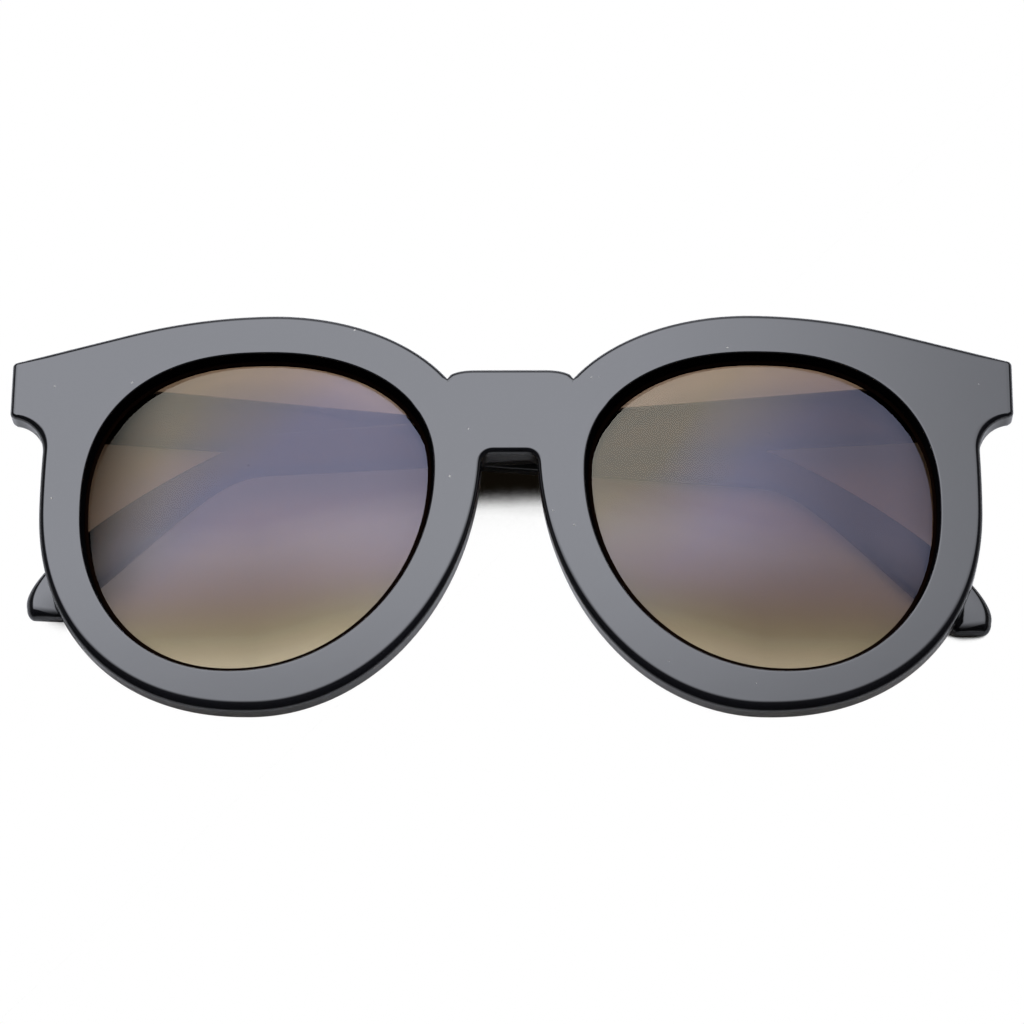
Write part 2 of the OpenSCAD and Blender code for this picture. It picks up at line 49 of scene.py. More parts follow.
RECESS_D, RECESS_DRAFT = 2.5, math.radians(12)
RIM_TOP, RIM_BOTTOM, RIM_SIDE = 6.2, 6.2, 6.3
BRIDGE_TOP, ARCH_TOP = 22.3, 8.9
NOSE_HALF_GAP, ARCH_CORNER_R = 4.1, 1.7
LOBE_REACH, LOBE_RISE = 31.2, 20.8
NOTCH_DROP = 1.35
BROW_R, BROW_SLOPE = 92.0, math.radians(13.3)
END_PIECE_REACH, END_PIECE_H = 5.0, 8.8
END_FILLET_R, END_CORNER_R, END_LEAN = 5.5, 0.8, 0.1
LENS_T, LENS_R = 1.6, 150.0
BEVEL_H = 0.8
HINGE_INSET = 5.75
TEMPLE_H, TEMPLE_T = 8.8, 3.8
STACK_H = 3.6
# The hinge axis stands this far from the front's seat and from the temple
HINGE_SIDE = 1.8
# Metal and acetate would share a plane at the hinge seats, so the acetate stands this far back
SEAT_RELIEF = 0.04
# Room for the edge roundings on the open outline and at the end pieces' tight corners
OPEN_RUN, CORNER_RUN = 1.5, 0.56
# Where the opening's quadrants meet and the outline's arcs have their middles, as shares of its size
TOP_SHARE, BOTTOM_SHARE = 0.495, 0.554
NOSE_HEIGHT_SHARE, OUT_HEIGHT_SHARE = 0.126, 0.015
LOBE_SHARE, SIDE_SHARE, NOSE_MID_SHARE = 0.4735, 0.502, 0.213
# Powers of the superellipses, and how much taller than wide the side's upper curve is
OPENING_POWERS = (2.22, 2.35, 2.17, 2.0)
SIDE_POWER, SIDE_BULGE_SHARE = 2.19, 2.35
CHEEK_STEPS = 60
# The stations between the arch and the brow lie inside the plate, where both halves join
SEAM = 7

nose_x = BRIDGE_W / 2
out_x = nose_x + LENS_W
top_x = nose_x + TOP_SHARE * LENS_W
bottom_x = nose_x + BOTTOM_SHARE * LENS_W
nose_y, out_y = NOSE_HEIGHT_SHARE * LENS_H, OUT_HEIGHT_SHARE * LENS_H
opening_top = LENS_H / 2


def quarter(share, power):
    """Both ordinates of a superellipse at a share of its quadrant."""
    a = math.pi / 2 * share
    return max(math.cos(a), 0) ** (2 / power), max(math.sin(a), 0) ** (2 / power)


def opening(q):
    """Edge of the right lens opening: q runs clockwise from the nose, four quadrants."""
    turn = q % 4
    k = int(turn)
    c, s = quarter(turn - k, OPENING_POWERS[k])
    return Vector((
        (top_x - (top_x - nose_x) * c, nose_y + (opening_top - nose_y) * s),
        (top_x + (out_x - top_x) * s, out_y + (opening_top - out_y) * c),
        (bottom_x + (out_x - bottom_x) * c, out_y - (opening_top + out_y) * s),
        (bottom_x - (bottom_x - nose_x) * s, nose_y - (opening_top + nose_y) * c),
    )[k])


def opening_normal(q):
    along = (opening(q + 0.01) - opening(q - 0.01)).normalized()
    return Vector((-along.y, along.x))


def arc(centre, rx, ry, a0, a1, count):
    turns = [math.radians(a0 + (a1 - a0) * i / count) for i in range(count)]
    return [Vector((centre[0] + rx * math.cos(a), centre[1] + ry * math.sin(a))) for a in turns]


def straight(a, b, count):
    return [Vector(a).lerp(Vector(b), i / count) for i in range(count)]


def joined(points, q0, q1, room0=OPEN_RUN, room1=OPEN_RUN):
    """Gives each outline point its place round the lens opening and the room for its roundings."""
    shares = [i / len(points) for i in range(len(points))]
    return [(p, q0 + (q1 - q0) * f, room0 + (room1 - room0) * f) for p, f in zip(points, shares)]


top_y, bottom_y = opening_top + RIM_TOP, -opening_top - RIM_BOTTOM
side_x = out_x + RIM_SIDE
end_x = side_x + END_PIECE_REACH
lobe_x, lobe_y = nose_x + LOBE_SHARE * LENS_W, top_y - LOBE_RISE
notch_y = BRIDGE_TOP - NOTCH_DROP
notch_angle = 180 - math.degrees(math.asin((notch_y - lobe_y) / LOBE_RISE))
notch_x = lobe_x + LOBE_REACH * math.cos(math.radians(notch_angle))
# The notches have shoulders three times as wide as they are deep
shoulder_w = 3 * NOTCH_DROP
shoulder_x = notch_x - shoulder_w
brow_end = Vector((lobe_x + BROW_R * math.sin(BROW_SLOPE), top_y - BROW_R * (1 - math.cos(BROW_SLOPE))))


def brow_line(x):
    return brow_end.y - (x - brow_end.x) * math.tan(BROW_SLOPE)


end_top = brow_line(end_x)
end_bottom = end_top - END_PIECE_H
corner_x = end_x - END_CORNER_R - END_LEAN
corner_mid = (corner_x, brow_line(corner_x) - END_CORNER_R / math.cos(BROW_SLOPE))
low_mid = (end_x - END_CORNER_R, end_bottom + END_CORNER_R)
side_mid = Vector((nose_x + SIDE_SHARE * LENS_W, out_y + END_CORNER_R))
side_reach, side_fall = side_x - side_mid.x, side_mid.y - bottom_y
side_bulge = SIDE_BULGE_SHARE * side_reach
fillet_y = end_bottom - END_FILLET_R
fillet_x = side_mid.x + side_reach * math.sqrt(1 - ((fillet_y - side_mid.y) / side_bulge) ** 2)
side_angle = math.degrees(math.asin((fillet_y - side_mid.y) / side_bulge))
nose_mid = Vector((side_mid.x, NOSE_MID_SHARE * LENS_H))
nose_reach, nose_fall = nose_mid.x - NOSE_HALF_GAP, nose_mid.y - bottom_y
arch_angle = 180 + math.degrees(math.asin((nose_mid.y - ARCH_TOP + ARCH_CORNER_R) / nose_fall))
arch_side_x = nose_mid.x + nose_reach * math.cos(math.radians(arch_angle))
arch_mid = (arch_side_x - ARCH_CORNER_R, ARCH_TOP - ARCH_CORNER_R)
brow_angle = 90 - math.degrees(BROW_SLOPE)
cheek_turns = [quarter(k / CHEEK_STEPS, SIDE_POWER) for k in range(CHEEK_STEPS)]
cheek = [Vector((side_mid.x + side_reach * c, side_mid.y - side_fall * s)) for c, s in cheek_turns]

# Half of the outer outline, clockwise from the middle of the bridge and back up its middle line.
# Each stretch has its number of steps, and the q at which the lens opening is joined to its ends
outline = (
    joined(straight((0, BRIDGE_TOP), (shoulder_x, BRIDGE_TOP), 8), 0.25, 0.26)
    + joined(arc((shoulder_x, notch_y), shoulder_w, NOTCH_DROP, 90, 20, 10), 0.26, 0.285)
    + joined(arc((lobe_x, lobe_y), LOBE_REACH, LOBE_RISE, notch_angle, 90, 54), 0.36, 0.97)
    + joined(arc((lobe_x, top_y - BROW_R), BROW_R, BROW_R, 90, brow_angle, 20), 0.97, 1.27)
    + joined(straight(brow_end, (corner_x, brow_line(corner_x)), 16), 1.27, 1.46, OPEN_RUN, CORNER_RUN)
    + joined(arc(corner_mid, END_CORNER_R, END_CORNER_R, brow_angle, 5, 8),
             1.46, 1.475, CORNER_RUN, CORNER_RUN)
    + joined(straight((end_x - END_LEAN, corner_mid[1]), (end_x, low_mid[1]), 8),
             1.48, 1.565, CORNER_RUN, CORNER_RUN)
    + joined(arc(low_mid, END_CORNER_R, END_CORNER_R, 0, -80, 8), 1.57, 1.585, CORNER_RUN, CORNER_RUN)
    + joined(arc((fillet_x + END_FILLET_R, fillet_y), END_FILLET_R, END_FILLET_R, 100, 180, 14),
             1.59, 1.75, CORNER_RUN, OPEN_RUN)
    + joined(arc(side_mid, side_reach, side_bulge, side_angle, 0, 14), 1.75, 2.0)
    + joined(cheek, 2.0, 3.0)
    + joined(arc(nose_mid, nose_reach, nose_fall, 270, arch_angle, 64), 3.0, 4.045)
    + joined(arc(arch_mid, ARCH_CORNER_R, ARCH_CORNER_R, 0, 90, 10), 4.045, 4.11)
    + joined(straight((arch_mid[0], ARCH_TOP), (0, ARCH_TOP), 5), 4.125, 4.15)
    + joined(straight((0, ARCH_TOP), (0, BRIDGE_TOP), SEAM + 1), 4.15, 4.25)
)
STATIONS = len(outline)

hinge_x = end_x - HINGE_INSET
face_z = HINGE_SIDE + FRONT_T + hinge_x ** 2 / (2 * WRAP_R)
back_z = face_z - FRONT_T
hinge_y = end_top - TEMPLE_H / 2
tilt = math.asin(STACK_H / (2 * hinge_x))
low_axis_z = HINGE_SIDE + TEMPLE_T
high_axis_z = low_axis_z + STACK_H
axis_x = hinge_x * math.cos(tilt)
# The front's own frame, turned by the thickness of the stacked temples, in metres
in_front = (Matrix.Scale(MM, 4) @ Matrix.Translation((0, 0, (low_axis_z + high_axis_z) / 2))
            @ Matrix.Rotation(-tilt, 4, "Y"))


def bent(p, z):
    return Vector((p.x, p.y, z - p.x ** 2 / (2 * WRAP_R)))


lens_mid = Vector((nose_x + LENS_W / 2, 0))
lens_rest_r = (LENS_W + LENS_H) / 4


def lens_z(p):
    """Height of the middle surface of the lens."""
    rise = (lens_rest_r ** 2 - (p - lens_mid).length_squared) / (2 * LENS_R)
    return face_z - RECESS_D - LENS_T / 2 + rise


draft_in = (RECESS_D - OPENING_EDGE_R) * math.tan(RECESS_DRAFT)
rear_edge_r = 0.2 * BACK_EDGE_R
# Points of each stretch of the section, and where the flat stretches have theirs
FACE_ROWS, RECESS_ROWS, REAR_ROWS, BACK_ROWS = 8, 6, 4, 9
MILLED_SHADE_ROWS = 6
FACE_SHARES, BACK_SHARES = (0.03, 0.2, 0.4, 0.6, 0.8, 0.97), (0.04, 0.35, 0.65, 0.96)
WALL_SHARE = 0.1
# The outer wall's two loops stand this far from the roundings, so that it shades flat
WALL_AT_BACK, WALL_AT_FACE = 0.15, 0.1


def rim_section(i):
    """Section at a station: outer edge, face, recess, groove, back and outer wall, as one loop."""
    p, q, room = outline[i]
    if i >= STATIONS - SEAM:
        m = Vector((0, 0))
    elif i == 0:
        m = Vector((0, -1))
    elif i == STATIONS - SEAM - 1:
        m = Vector((0, 1))
    else:
        along = ((outline[i + 1][0] - p).normalized() + (p - outline[i - 1][0]).normalized()).normalized()
        m = Vector((along.y, -along.x))
    # The lower edges are buffed longest, so their rounding reaches further into the face
    lower = max(m.y, 0) * min(max((4 - q) / 0.3, 0), 1)
    face_run, back_run = min(FACE_EDGE_R + LOW_EDGE_EXTRA * lower, room), min(BACK_EDGE_R, room)
    o, n = opening(q), opening_normal(q)
    wall = o - draft_in * n
    groove = o + (BEVEL_H - draft_in) * n
    rows = []
    for k in range(FACE_ROWS):
        a = math.radians(90 * k / (FACE_ROWS - 1))
        rows.append(bent(p + (1 - math.cos(a)) * face_run * m, face_z - (1 - math.sin(a)) * FACE_EDGE_R))
    outer, inner = p + face_run * m, o + RECESS_EDGE_R * n
    for share in FACE_SHARES:
        rows.append(bent(outer.lerp(inner, share), face_z))
    for k in range(RECESS_ROWS):
        a = math.radians(90 - 90 * k / (RECESS_ROWS - 1))
        rows.append(bent(o + (1 - math.cos(a)) * RECESS_EDGE_R * n,
                         face_z - (1 - math.sin(a)) * RECESS_EDGE_R))
    top, low = lens_z(wall) + LENS_T / 2, lens_z(wall) - LENS_T / 2
    edge_z = face_z - RECESS_EDGE_R
    rows.append(bent(o.lerp(wall, WALL_SHARE), edge_z + WALL_SHARE * (top - edge_z)))
    rows.append(bent(wall, top))
    rows.append(bent(groove, lens_z(groove)))
    rows.append(bent(wall, low))
    for k in range(REAR_ROWS):
        a = math.radians(90 * k / (REAR_ROWS - 1))
        rows.append(bent(wall + (1 - math.cos(a)) * rear_edge_r * n,
                         back_z + (1 - math.sin(a)) * rear_edge_r))
    inner, outer = wall + rear_edge_r * n, p + back_run * m
    for share in BACK_SHARES:
        rows.append(bent(inner.lerp(outer, share), back_z))
    for k in range(BACK_ROWS):
        a = math.radians(90 - 90 * k / (BACK_ROWS - 1))
        rows.append(bent(p + (1 - math.cos(a)) * back_run * m, back_z + (1 - math.sin(a)) * BACK_EDGE_R))
    rows.append(bent(p, back_z + BACK_EDGE_R + WALL_AT_BACK))
    rows.append(bent(p, face_z - FACE_EDGE_R - WALL_AT_FACE))
    for v in rows:
        if v.x > hinge_x - HINGE_INSET / 2 and v.z < HINGE_SIDE + SEAT_RELIEF:
            v.z = HINGE_SIDE + SEAT_RELIEF
    return rows


def add(tree, kind, sockets=None, **settings):
    """Adds one node: settings are its own values, sockets its inputs or the outputs that feed them."""
    node = tree.nodes.new(kind)
    for name, value in settings.items():
        setattr(node, name, value)
    for key, value in (sockets or {}).items():
        if isinstance(value, bpy.types.NodeSocket):
            tree.links.new(value, node.inputs[key])
        else:
            node.inputs[key].default_value = value
    return node


def paint(code):
    """sRGB hex colour as linear RGBA."""
    parts = [int(code[i:i + 2], 16) / 255 for i in (1, 3, 5)]
    return [c / 12.92 if c <= 0.04045 else ((c + 0.055) / 1.055) ** 2.4 for c in parts] + [1.0]


def new_material(name):
    made = bpy.data.materials.new(name)
    made.use_nodes = True
    made.node_tree.nodes.clear()
    return made, made.node_tree


def piece(name, verts, faces, material, body, nodes=(), sharp=35, machined_and_painted_shade=()):
    """Mesh object of finished points, in metres: merged, turned outwards, smooth up to an angle.

    The points listed in machined were cut last and never polished, and are drawn dark without gloss as
    painted shade: the attribute of that name says so.
    """
    mesh = bpy.data.meshes.new(name)
    mesh.from_pydata([tuple(v) for v in verts], [], faces)
    if machined_and_painted_shade:
        cut = mesh.attributes.new("machined_and_painted_shade", "FLOAT", "POINT")
        for k in machined_and_painted_shade:
            cut.data[k].value = 1.0
    made = bpy.data.objects.new(name, mesh)
    bpy.context.scene.collection.objects.link(made)
    return finish(made, material, body, nodes, sharp)


# Points closer than this, in metres, are one point
MERGE = 2e-7


def finish(made, material, body, nodes=(), sharp=35):
    """Merges and smooths a mesh, gives it its material, and says what it rides on and replaces."""
    mesh = made.data
    bm = bmesh.new()
    bm.from_mesh(mesh)
    bmesh.ops.remove_doubles(bm, verts=bm.verts, dist=MERGE)
    bmesh.ops.dissolve_degenerate(bm, edges=bm.edges, dist=1e-8)
    bmesh.ops.recalc_face_normals(bm, faces=bm.faces)
    bm.to_mesh(mesh)
    bm.free()
    mesh.materials.clear()
    mesh.materials.append(material)
    mesh.shade_smooth()
    mesh.set_sharp_from_angle(angle=math.radians(sharp))
    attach(made, body)
    if nodes:
        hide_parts(*nodes)
    return made


# Cellulose acetate, polished by tumbling: near black with a breath of blue, a clear hard gloss,
# the faint swell of a hand-buffed plate, and a few specks of dust. The grain of the buffing is
# finer on the real plate, and is drawn this coarse to show
SWELL_W, GRAIN_W, DUST_APART = 11.11, 0.3846, 2.6316
acetate, t = new_material("black_cellulose_acetate_tumbled")
where = add(t, "ShaderNodeTexCoord").outputs["Object"]
swell = add(t, "ShaderNodeTexNoise", {"Vector": where, "Scale": 1 / (SWELL_W * MM), "Detail": 2.0,
                                      "Roughness": 0.45})
grain = add(t, "ShaderNodeTexNoise", {"Vector": where, "Scale": 1 / (GRAIN_W * MM), "Detail": 2.0,
                                      "Roughness": 0.6})
specks = add(t, "ShaderNodeTexVoronoi", {"Vector": where, "Scale": 1 / (DUST_APART * MM),
                                         "Randomness": 1.0})
near_speck = add(t, "ShaderNodeMapRange", {"Value": specks.outputs["Distance"], "From Min": 0.02,
                                           "From Max": 0.08, "To Min": 1.0, "To Max": 0.0})
chance = add(t, "ShaderNodeMath", {0: specks.outputs["Color"], 1: 0.7}, operation="GREATER_THAN")
dust = add(t, "ShaderNodeMath", {0: near_speck.outputs[0], 1: chance.outputs[0]}, operation="MULTIPLY")
blue_black = add(t, "ShaderNodeMix", {"Factor": swell.outputs["Fac"], "A": paint("#0a0a0c"),
                                      "B": paint("#131317")}, data_type="RGBA")
dusty = add(t, "ShaderNodeMix", {"Factor": dust.outputs[0], "A": blue_black.outputs["Result"],
                                 "B": paint("#b9b6ae")}, data_type="RGBA")
gloss = add(t, "ShaderNodeMapRange", {"Value": grain.outputs["Fac"], "From Min": 0.3, "From Max": 0.75,
                                      "To Min": 0.035, "To Max": 0.075})
rough = add(t, "ShaderNodeMath", {0: gloss.outputs[0], 1: dust.outputs[0]}, operation="ADD",
            use_clamp=True)
swollen = add(t, "ShaderNodeBump", {"Height": swell.outputs["Fac"], "Strength": 0.05, "Distance": 0.0004})
polished = add(t, "ShaderNodeBsdfPrincipled", {"Base Color": dusty.outputs["Result"],
                                               "Roughness": rough.outputs[0], "IOR": 1.49,
                                               "Normal": swollen.outputs["Normal"]})
# The recess and groove for the lens are milled after the tumbling, so they stay matt. They are drawn
# darker than the plate and with no gloss at all: painted shade in the recess
milled_painted_shade = add(t, "ShaderNodeBsdfDiffuse", {"Color": paint("#060607"), "Roughness": 0.6})
milled = add(t, "ShaderNodeAttribute", attribute_name="machined_and_painted_shade")
either = add(t, "ShaderNodeMixShader", {0: milled.outputs["Fac"], 1: polished.outputs[0],
                                        2: milled_painted_shade.outputs[0]})
add(t, "ShaderNodeOutputMaterial", {"Surface": either.outputs[0]})

sections = [rim_section(i) for i in range(STATIONS)]
ROWS = len(sections[0])
# Along the seam there is no outer wall. The milled rows, drawn as painted shade, run from the recess's
# front edge to its rear
OUTER = set(range(FACE_ROWS)) | set(range(ROWS - BACK_ROWS - 2, ROWS))
recess_start = FACE_ROWS + len(FACE_SHARES) + RECESS_ROWS - 1
RECESS = range(recess_start, recess_start + MILLED_SHADE_ROWS)
half_faces = []
for i in range(STATIONS):
    i2 = (i + 1) % STATIONS
    for j in range(ROWS):
        j2 = (j + 1) % ROWS
        on_seam = outline[i][0].x == 0 and outline[i2][0].x == 0
        if not (on_seam and j in OUTER and j2 in OUTER):
            half_faces.append((i * ROWS + j, i2 * ROWS + j, i2 * ROWS + j2, i * ROWS + j2))
half = [v for rows in sections for v in rows]
count = len(half)
both = half + [Vector((-v.x, v.y, v.z)) for v in half]
front_faces = half_faces + [tuple(k + count for k in reversed(f)) for f in half_faces]
piece("front_acetate", [in_front @ v for v in both], front_faces, acetate, "front",
      ["front_frame"], machined_and_painted_shade=[i * ROWS + j for i in range(2 * STATIONS) for j in RECESS])

# Lenses
# Each lens is cast and ground plastic, 1.6 mm thick, on a shallow curve, with a bevel all round
# that snaps into the groove. It is dipped to a smoke brown that fades towards the cheek, and
# its front has a thin coating whose reflection is bluish purple.
LENS_RINGS, LENS_SIDES, LENS_MIDDLE = 18, 256, 0.02
LENS_GAP = 0.12
# The dye takes in faint clouds this wide
CLOUD_W = 16.67
lens_mid_x = MM * (nose_x + LENS_W / 2)

# Dipped plastic is clear as glass: the table shows through it, darker and browner towards the brow
lens_tint, t = new_material("gradient_dipped_lens_coated")
where = add(t, "ShaderNodeTexCoord").outputs["Object"]
spot = add(t, "ShaderNodeSeparateXYZ", {0: where})
from_middle = add(t, "ShaderNodeMath", {0: spot.outputs["X"]}, operation="ABSOLUTE")
to_nose = add(t, "ShaderNodeMath", {0: lens_mid_x, 1: from_middle.outputs[0]}, operation="SUBTRACT")
nose_painted_light = add(t, "ShaderNodeMath", {0: to_nose.outputs[0], 1: 0.0}, operation="MAXIMUM")
# The dip line isn't level: it rises towards the nose, so the tint is lighter there. This is painted
# light, standing in for light that reaches the table under the lens through the nose gap
dip_and_nose_light = add(t, "ShaderNodeMath", {0: nose_painted_light.outputs[0], 1: -0.28, 2: spot.outputs["Y"]},
               operation="MULTIPLY_ADD")
height = add(t, "ShaderNodeMapRange", {"Value": dip_and_nose_light.outputs[0], "From Min": -0.0255,
                                       "From Max": 0.0255, "To Min": 0.0, "To Max": 1.0})
dip = add(t, "ShaderNodeValToRGB", {"Fac": height.outputs[0]})
ramp = dip.color_ramp
ramp.elements[0].position, ramp.elements[0].color = 0.04, paint("#eae5cb")
ramp.elements[1].position, ramp.elements[1].color = 0.9, paint("#7d664e")
for place, code in ((0.08, "#d6d2b6"), (0.131, "#bfbba1"), (0.19, "#b4ab99"), (0.25, "#afa396"),
                    (0.36, "#a39786"), (0.47, "#867361")):
    stop = ramp.elements.new(place)
    stop.color = paint(code)
cloud = add(t, "ShaderNodeTexNoise", {"Vector": where, "Scale": 1 / (CLOUD_W * MM), "Detail": 1.0})
cast = add(t, "ShaderNodeMix", {"Factor": cloud.outputs["Fac"], "A": paint("#f4f0f6"),
                                "B": paint("#ffffff")}, data_type="RGBA")
smoke = add(t, "ShaderNodeMix", {"Factor": 1.0, "A": dip.outputs["Color"], "B": cast.outputs["Result"]},
            data_type="RGBA", blend_type="MULTIPLY")
glass = add(t, "ShaderNodeBsdfPrincipled", {"Base Color": smoke.outputs["Result"], "Roughness": 0.0,
                                            "IOR": 1.5, "Transmission Weight": 1.0})
# The coating is not equally thick: its reflection turns from straw, at each lens's upper left, to
# violet blue
hand = add(t, "ShaderNodeMath", {0: spot.outputs["X"], 1: 0.0}, operation="SIGN")
from_lens_mid = add(t, "ShaderNodeMath", {0: hand.outputs[0], 1: -lens_mid_x, 2: spot.outputs["X"]},
                    operation="MULTIPLY_ADD")
slant = add(t, "ShaderNodeMath", {0: spot.outputs["Y"], 1: -0.9, 2: from_lens_mid.outputs[0]},
            operation="MULTIPLY_ADD")
drift = add(t, "ShaderNodeMath", {0: cloud.outputs["Fac"], 1: 0.012, 2: slant.outputs[0]},
            operation="MULTIPLY_ADD")
thick = add(t, "ShaderNodeMapRange", {"Value": drift.outputs[0], "From Min": -0.02, "From Max": 0.0,
                                      "To Min": 0.0, "To Max": 1.0})
film = add(t, "ShaderNodeMix", {"Factor": thick.outputs[0], "A": paint("#c6c1ae"),
                                "B": paint("#bfc1e0")}, data_type="RGBA")
t.links.new(film.outputs["Result"], glass.inputs["Specular Tint"])
# Light that falls on the table through a lens passes two faces, and each gives it half the tint
rays = add(t, "ShaderNodeLightPath")
one_side = add(t, "ShaderNodeGamma", {"Color": smoke.outputs["Result"], "Gamma": 0.5})
shadow_tint = add(t, "ShaderNodeBsdfTransparent", {"Color": one_side.outputs["Color"]})
lens_body = add(t, "ShaderNodeMixShader", {0: rays.outputs["Is Shadow Ray"], 1: glass.outputs[0],
                                           2: shadow_tint.outputs[0]})
# The bevel is ground and matt. It and the last 0.5 mm of the lens before it are drawn dark and
# opaque: painted shade along the recess wall
ground_shade_mask = add(t, "ShaderNodeAttribute", attribute_name="machined_and_painted_shade")
on_bevel_shade = add(t, "ShaderNodeMath", {0: ground_shade_mask.outputs["Fac"], 1: 0.66}, operation="GREATER_THAN")
bevel_painted_shade = add(t, "ShaderNodeBsdfDiffuse", {"Color": paint("#0c0503")})
lens_or_bevel_shade = add(t, "ShaderNodeMixShader", {0: on_bevel_shade.outputs[0], 1: lens_body.outputs[0],
                                               2: bevel_painted_shade.outputs[0]})
add(t, "ShaderNodeOutputMaterial", {"Surface": lens_or_bevel_shade.outputs[0]})

turns = [4 * k / LENS_SIDES for k in range(LENS_SIDES)]
base = [opening(q) - (draft_in + LENS_GAP) * opening_normal(q) for q in turns]
tip = [opening(q) + (BEVEL_H - draft_in - LENS_GAP) * opening_normal(q) for q in turns]


def lens_ring(share, side):
    points = [lens_mid + share * (b - lens_mid) for b in base]
    return [bent(p, lens_z(p) + side * LENS_T / 2) for p in points]


def closed_rings(rings):
    """Points and faces of a skin over rings, with its two ends closed to a middle point."""
    n = len(rings[0])
    verts = [v for ring in rings for v in ring]
    faces = [(i * n + j, (i + 1) * n + j, (i + 1) * n + (j + 1) % n, i * n + (j + 1) % n)
             for i in range(len(rings) - 1) for j in range(n)]
    first, last = len(verts), len(verts) + 1
    verts.append(sum(rings[0], Vector((0, 0, 0))) / n)
    verts.append(sum(rings[-1], Vector((0, 0, 0))) / n)
    faces += [(first, j, (j + 1) % n) for j in range(n)]
    end = (len(rings) - 1) * n
    faces += [(last, end + (j + 1) % n, end + j) for j in range(n)]
    return verts, faces


def mirrored(points, sign):
    """Points of the front's right half, on the wanted side and in their place."""
    return [in_front @ Vector((sign * v.x, v.y, v.z)) for v in points]


shares = [LENS_MIDDLE] + [(k + 1) / LENS_RINGS for k in range(LENS_RINGS)]
lens_skin = ([lens_ring(s, 1) for s in shares] + [[bent(p, lens_z(p)) for p in tip]]
             + [lens_ring(s, -1) for s in reversed(shares)])
lens_verts, lens_faces = closed_rings(lens_skin)
bevel_shade_points = range((len(shares) - 1) * LENS_SIDES, (len(shares) + 2) * LENS_SIDES)
for side, sign in (("left", -1), ("right", 1)):
    piece(f"lens_{side}_tinted", mirrored(lens_verts, sign), lens_faces, lens_tint, "front",
          [f"lens_{side}"], machined_and_painted_shade=bevel_shade_points)

# Nose pads
# The pads are carved from the same acetate, glued to the back beside the nose and tumbled with
# the front, so they have no seam that shows and share its gloss.
PAD_L, PAD_W, PAD_D = 14.0, 4.4, 4.2
PAD_ACROSS_SHARE, PAD_DOWN_SHARE, PAD_LEAN_SHARE = 0.84, 0.06, 0.22
PAD_TURN = math.radians(21)
PAD_RINGS, PAD_SIDES = 14, 48
PAD_DEPTHS, PAD_SIZES = (0, 0.4, 0.7, 0.9, 1), (1, 0.96, 0.84, 0.62, 0.3)
pad_place = Vector((PAD_ACROSS_SHARE * nose_x, -PAD_DOWN_SHARE * LENS_H))
pad_z = back_z - (pad_place.x + PAD_W) ** 2 / (2 * WRAP_R)
pad_turn = Matrix.Rotation(PAD_TURN, 4, "Z")


def pad_size(depth):
    """Width share at a depth, straight between the pad's five stations."""
    for k in range(len(PAD_DEPTHS) - 1):
        if depth <= PAD_DEPTHS[k + 1]:
            f = (depth - PAD_DEPTHS[k]) / (PAD_DEPTHS[k + 1] - PAD_DEPTHS[k])
            return PAD_SIZES[k] + (PAD_SIZES[k + 1] - PAD_SIZES[k]) * f
    return PAD_SIZES[-1]


pad_skin = []
for k in range(PAD_RINGS + 1):
    d = math.sin(math.pi / 2 * k / PAD_RINGS)
    ring = []
    for j in range(PAD_SIDES):
        a = -2 * math.pi * j / PAD_SIDES
        p = Vector((PAD_LEAN_SHARE * PAD_D * d + pad_size(d) * PAD_W / 2 * math.cos(a),
                    pad_size(d) * PAD_L / 2 * math.sin(a), -d * PAD_D))
        ring.append(pad_turn @ p + Vector((pad_place.x, pad_place.y, pad_z)))
    pad_skin.append(ring)
pad_verts, pad_faces = closed_rings(pad_skin)
for side, sign in (("left", -1), ("right", 1)):
    piece(f"nose_pad_{side}_carved", mirrored(pad_verts, sign), pad_faces, acetate, "front",
          [f"nose_pad_{side}"], sharp=60)

# Temples
# A temple is a blank of the same acetate, shot with its core wire, milled to a taper, bent down
# behind the ear and tumbled. Its outer face is flat and its long edges are round.
TEMPLE_REACH, TEMPLE_BEND_H, BEND_START = 143.0, 6.3, 105.5
TEMPLE_SLOPE = math.radians(4.3)
TIP_DROP, TIP_W = 34.6, 5.8
TEMPLE_MID_T, TEMPLE_TIP_T = 3.1, 2.9
TEMPLE_EDGE_R, TIP_EDGE_R = 0.9, 1.35
# The temple's end stands this far before the hinge axis, and its rim is eased
BUTT, EASE = 1.55, TEMPLE_EDGE_R / 4
# Shares of the temple's straight part where it starts to thin, and over how much of it
TAPER_START, TAPER_L = 0.07, 0.33
# Pulls of the ear bend's two edge curves, as shares of its reach and fall
BEND_PULL = 0.22
TOP_PULL_OUT, TOP_PULL_DOWN = 1.05, 0.7
LOW_PULL_OUT, LOW_PULL_DOWN = 0.24, 0.06
BUTT_RINGS, STRAIGHT_RINGS, EAR_RINGS, TIP_RINGS = 4, 41, 60, 8
CORNER_STEPS = 8
tip_corner = 2 * TEMPLE_EDGE_R
ear_reach = TEMPLE_REACH - BEND_START


def edge_line(s, side):
    h = TEMPLE_H + (TEMPLE_BEND_H - TEMPLE_H) * s / BEND_START
    return Vector((s, -s * math.tan(TEMPLE_SLOPE) + side / 2 * h))


def bezier(points, u):
    a, b, c, d = points
    return (1 - u) ** 3 * a + 3 * (1 - u) ** 2 * u * b + 3 * (1 - u) * u * u * c + u ** 3 * d


top_start, low_start = edge_line(BEND_START, 1), edge_line(BEND_START, -1)
ear_fall = top_start.y + TIP_DROP
top_curve = (top_start, edge_line(BEND_START + BEND_PULL * ear_reach, 1),
             top_start + Vector((TOP_PULL_OUT * ear_reach, -TOP_PULL_DOWN * ear_fall)),
             Vector((TEMPLE_REACH, tip_corner - TIP_DROP)))
low_curve = (low_start, edge_line(BEND_START + BEND_PULL * ear_reach, -1),
             low_start + Vector((LOW_PULL_OUT * ear_reach, -LOW_PULL_DOWN * ear_fall)),
             Vector((TEMPLE_REACH - TIP_W, -TIP_DROP)))


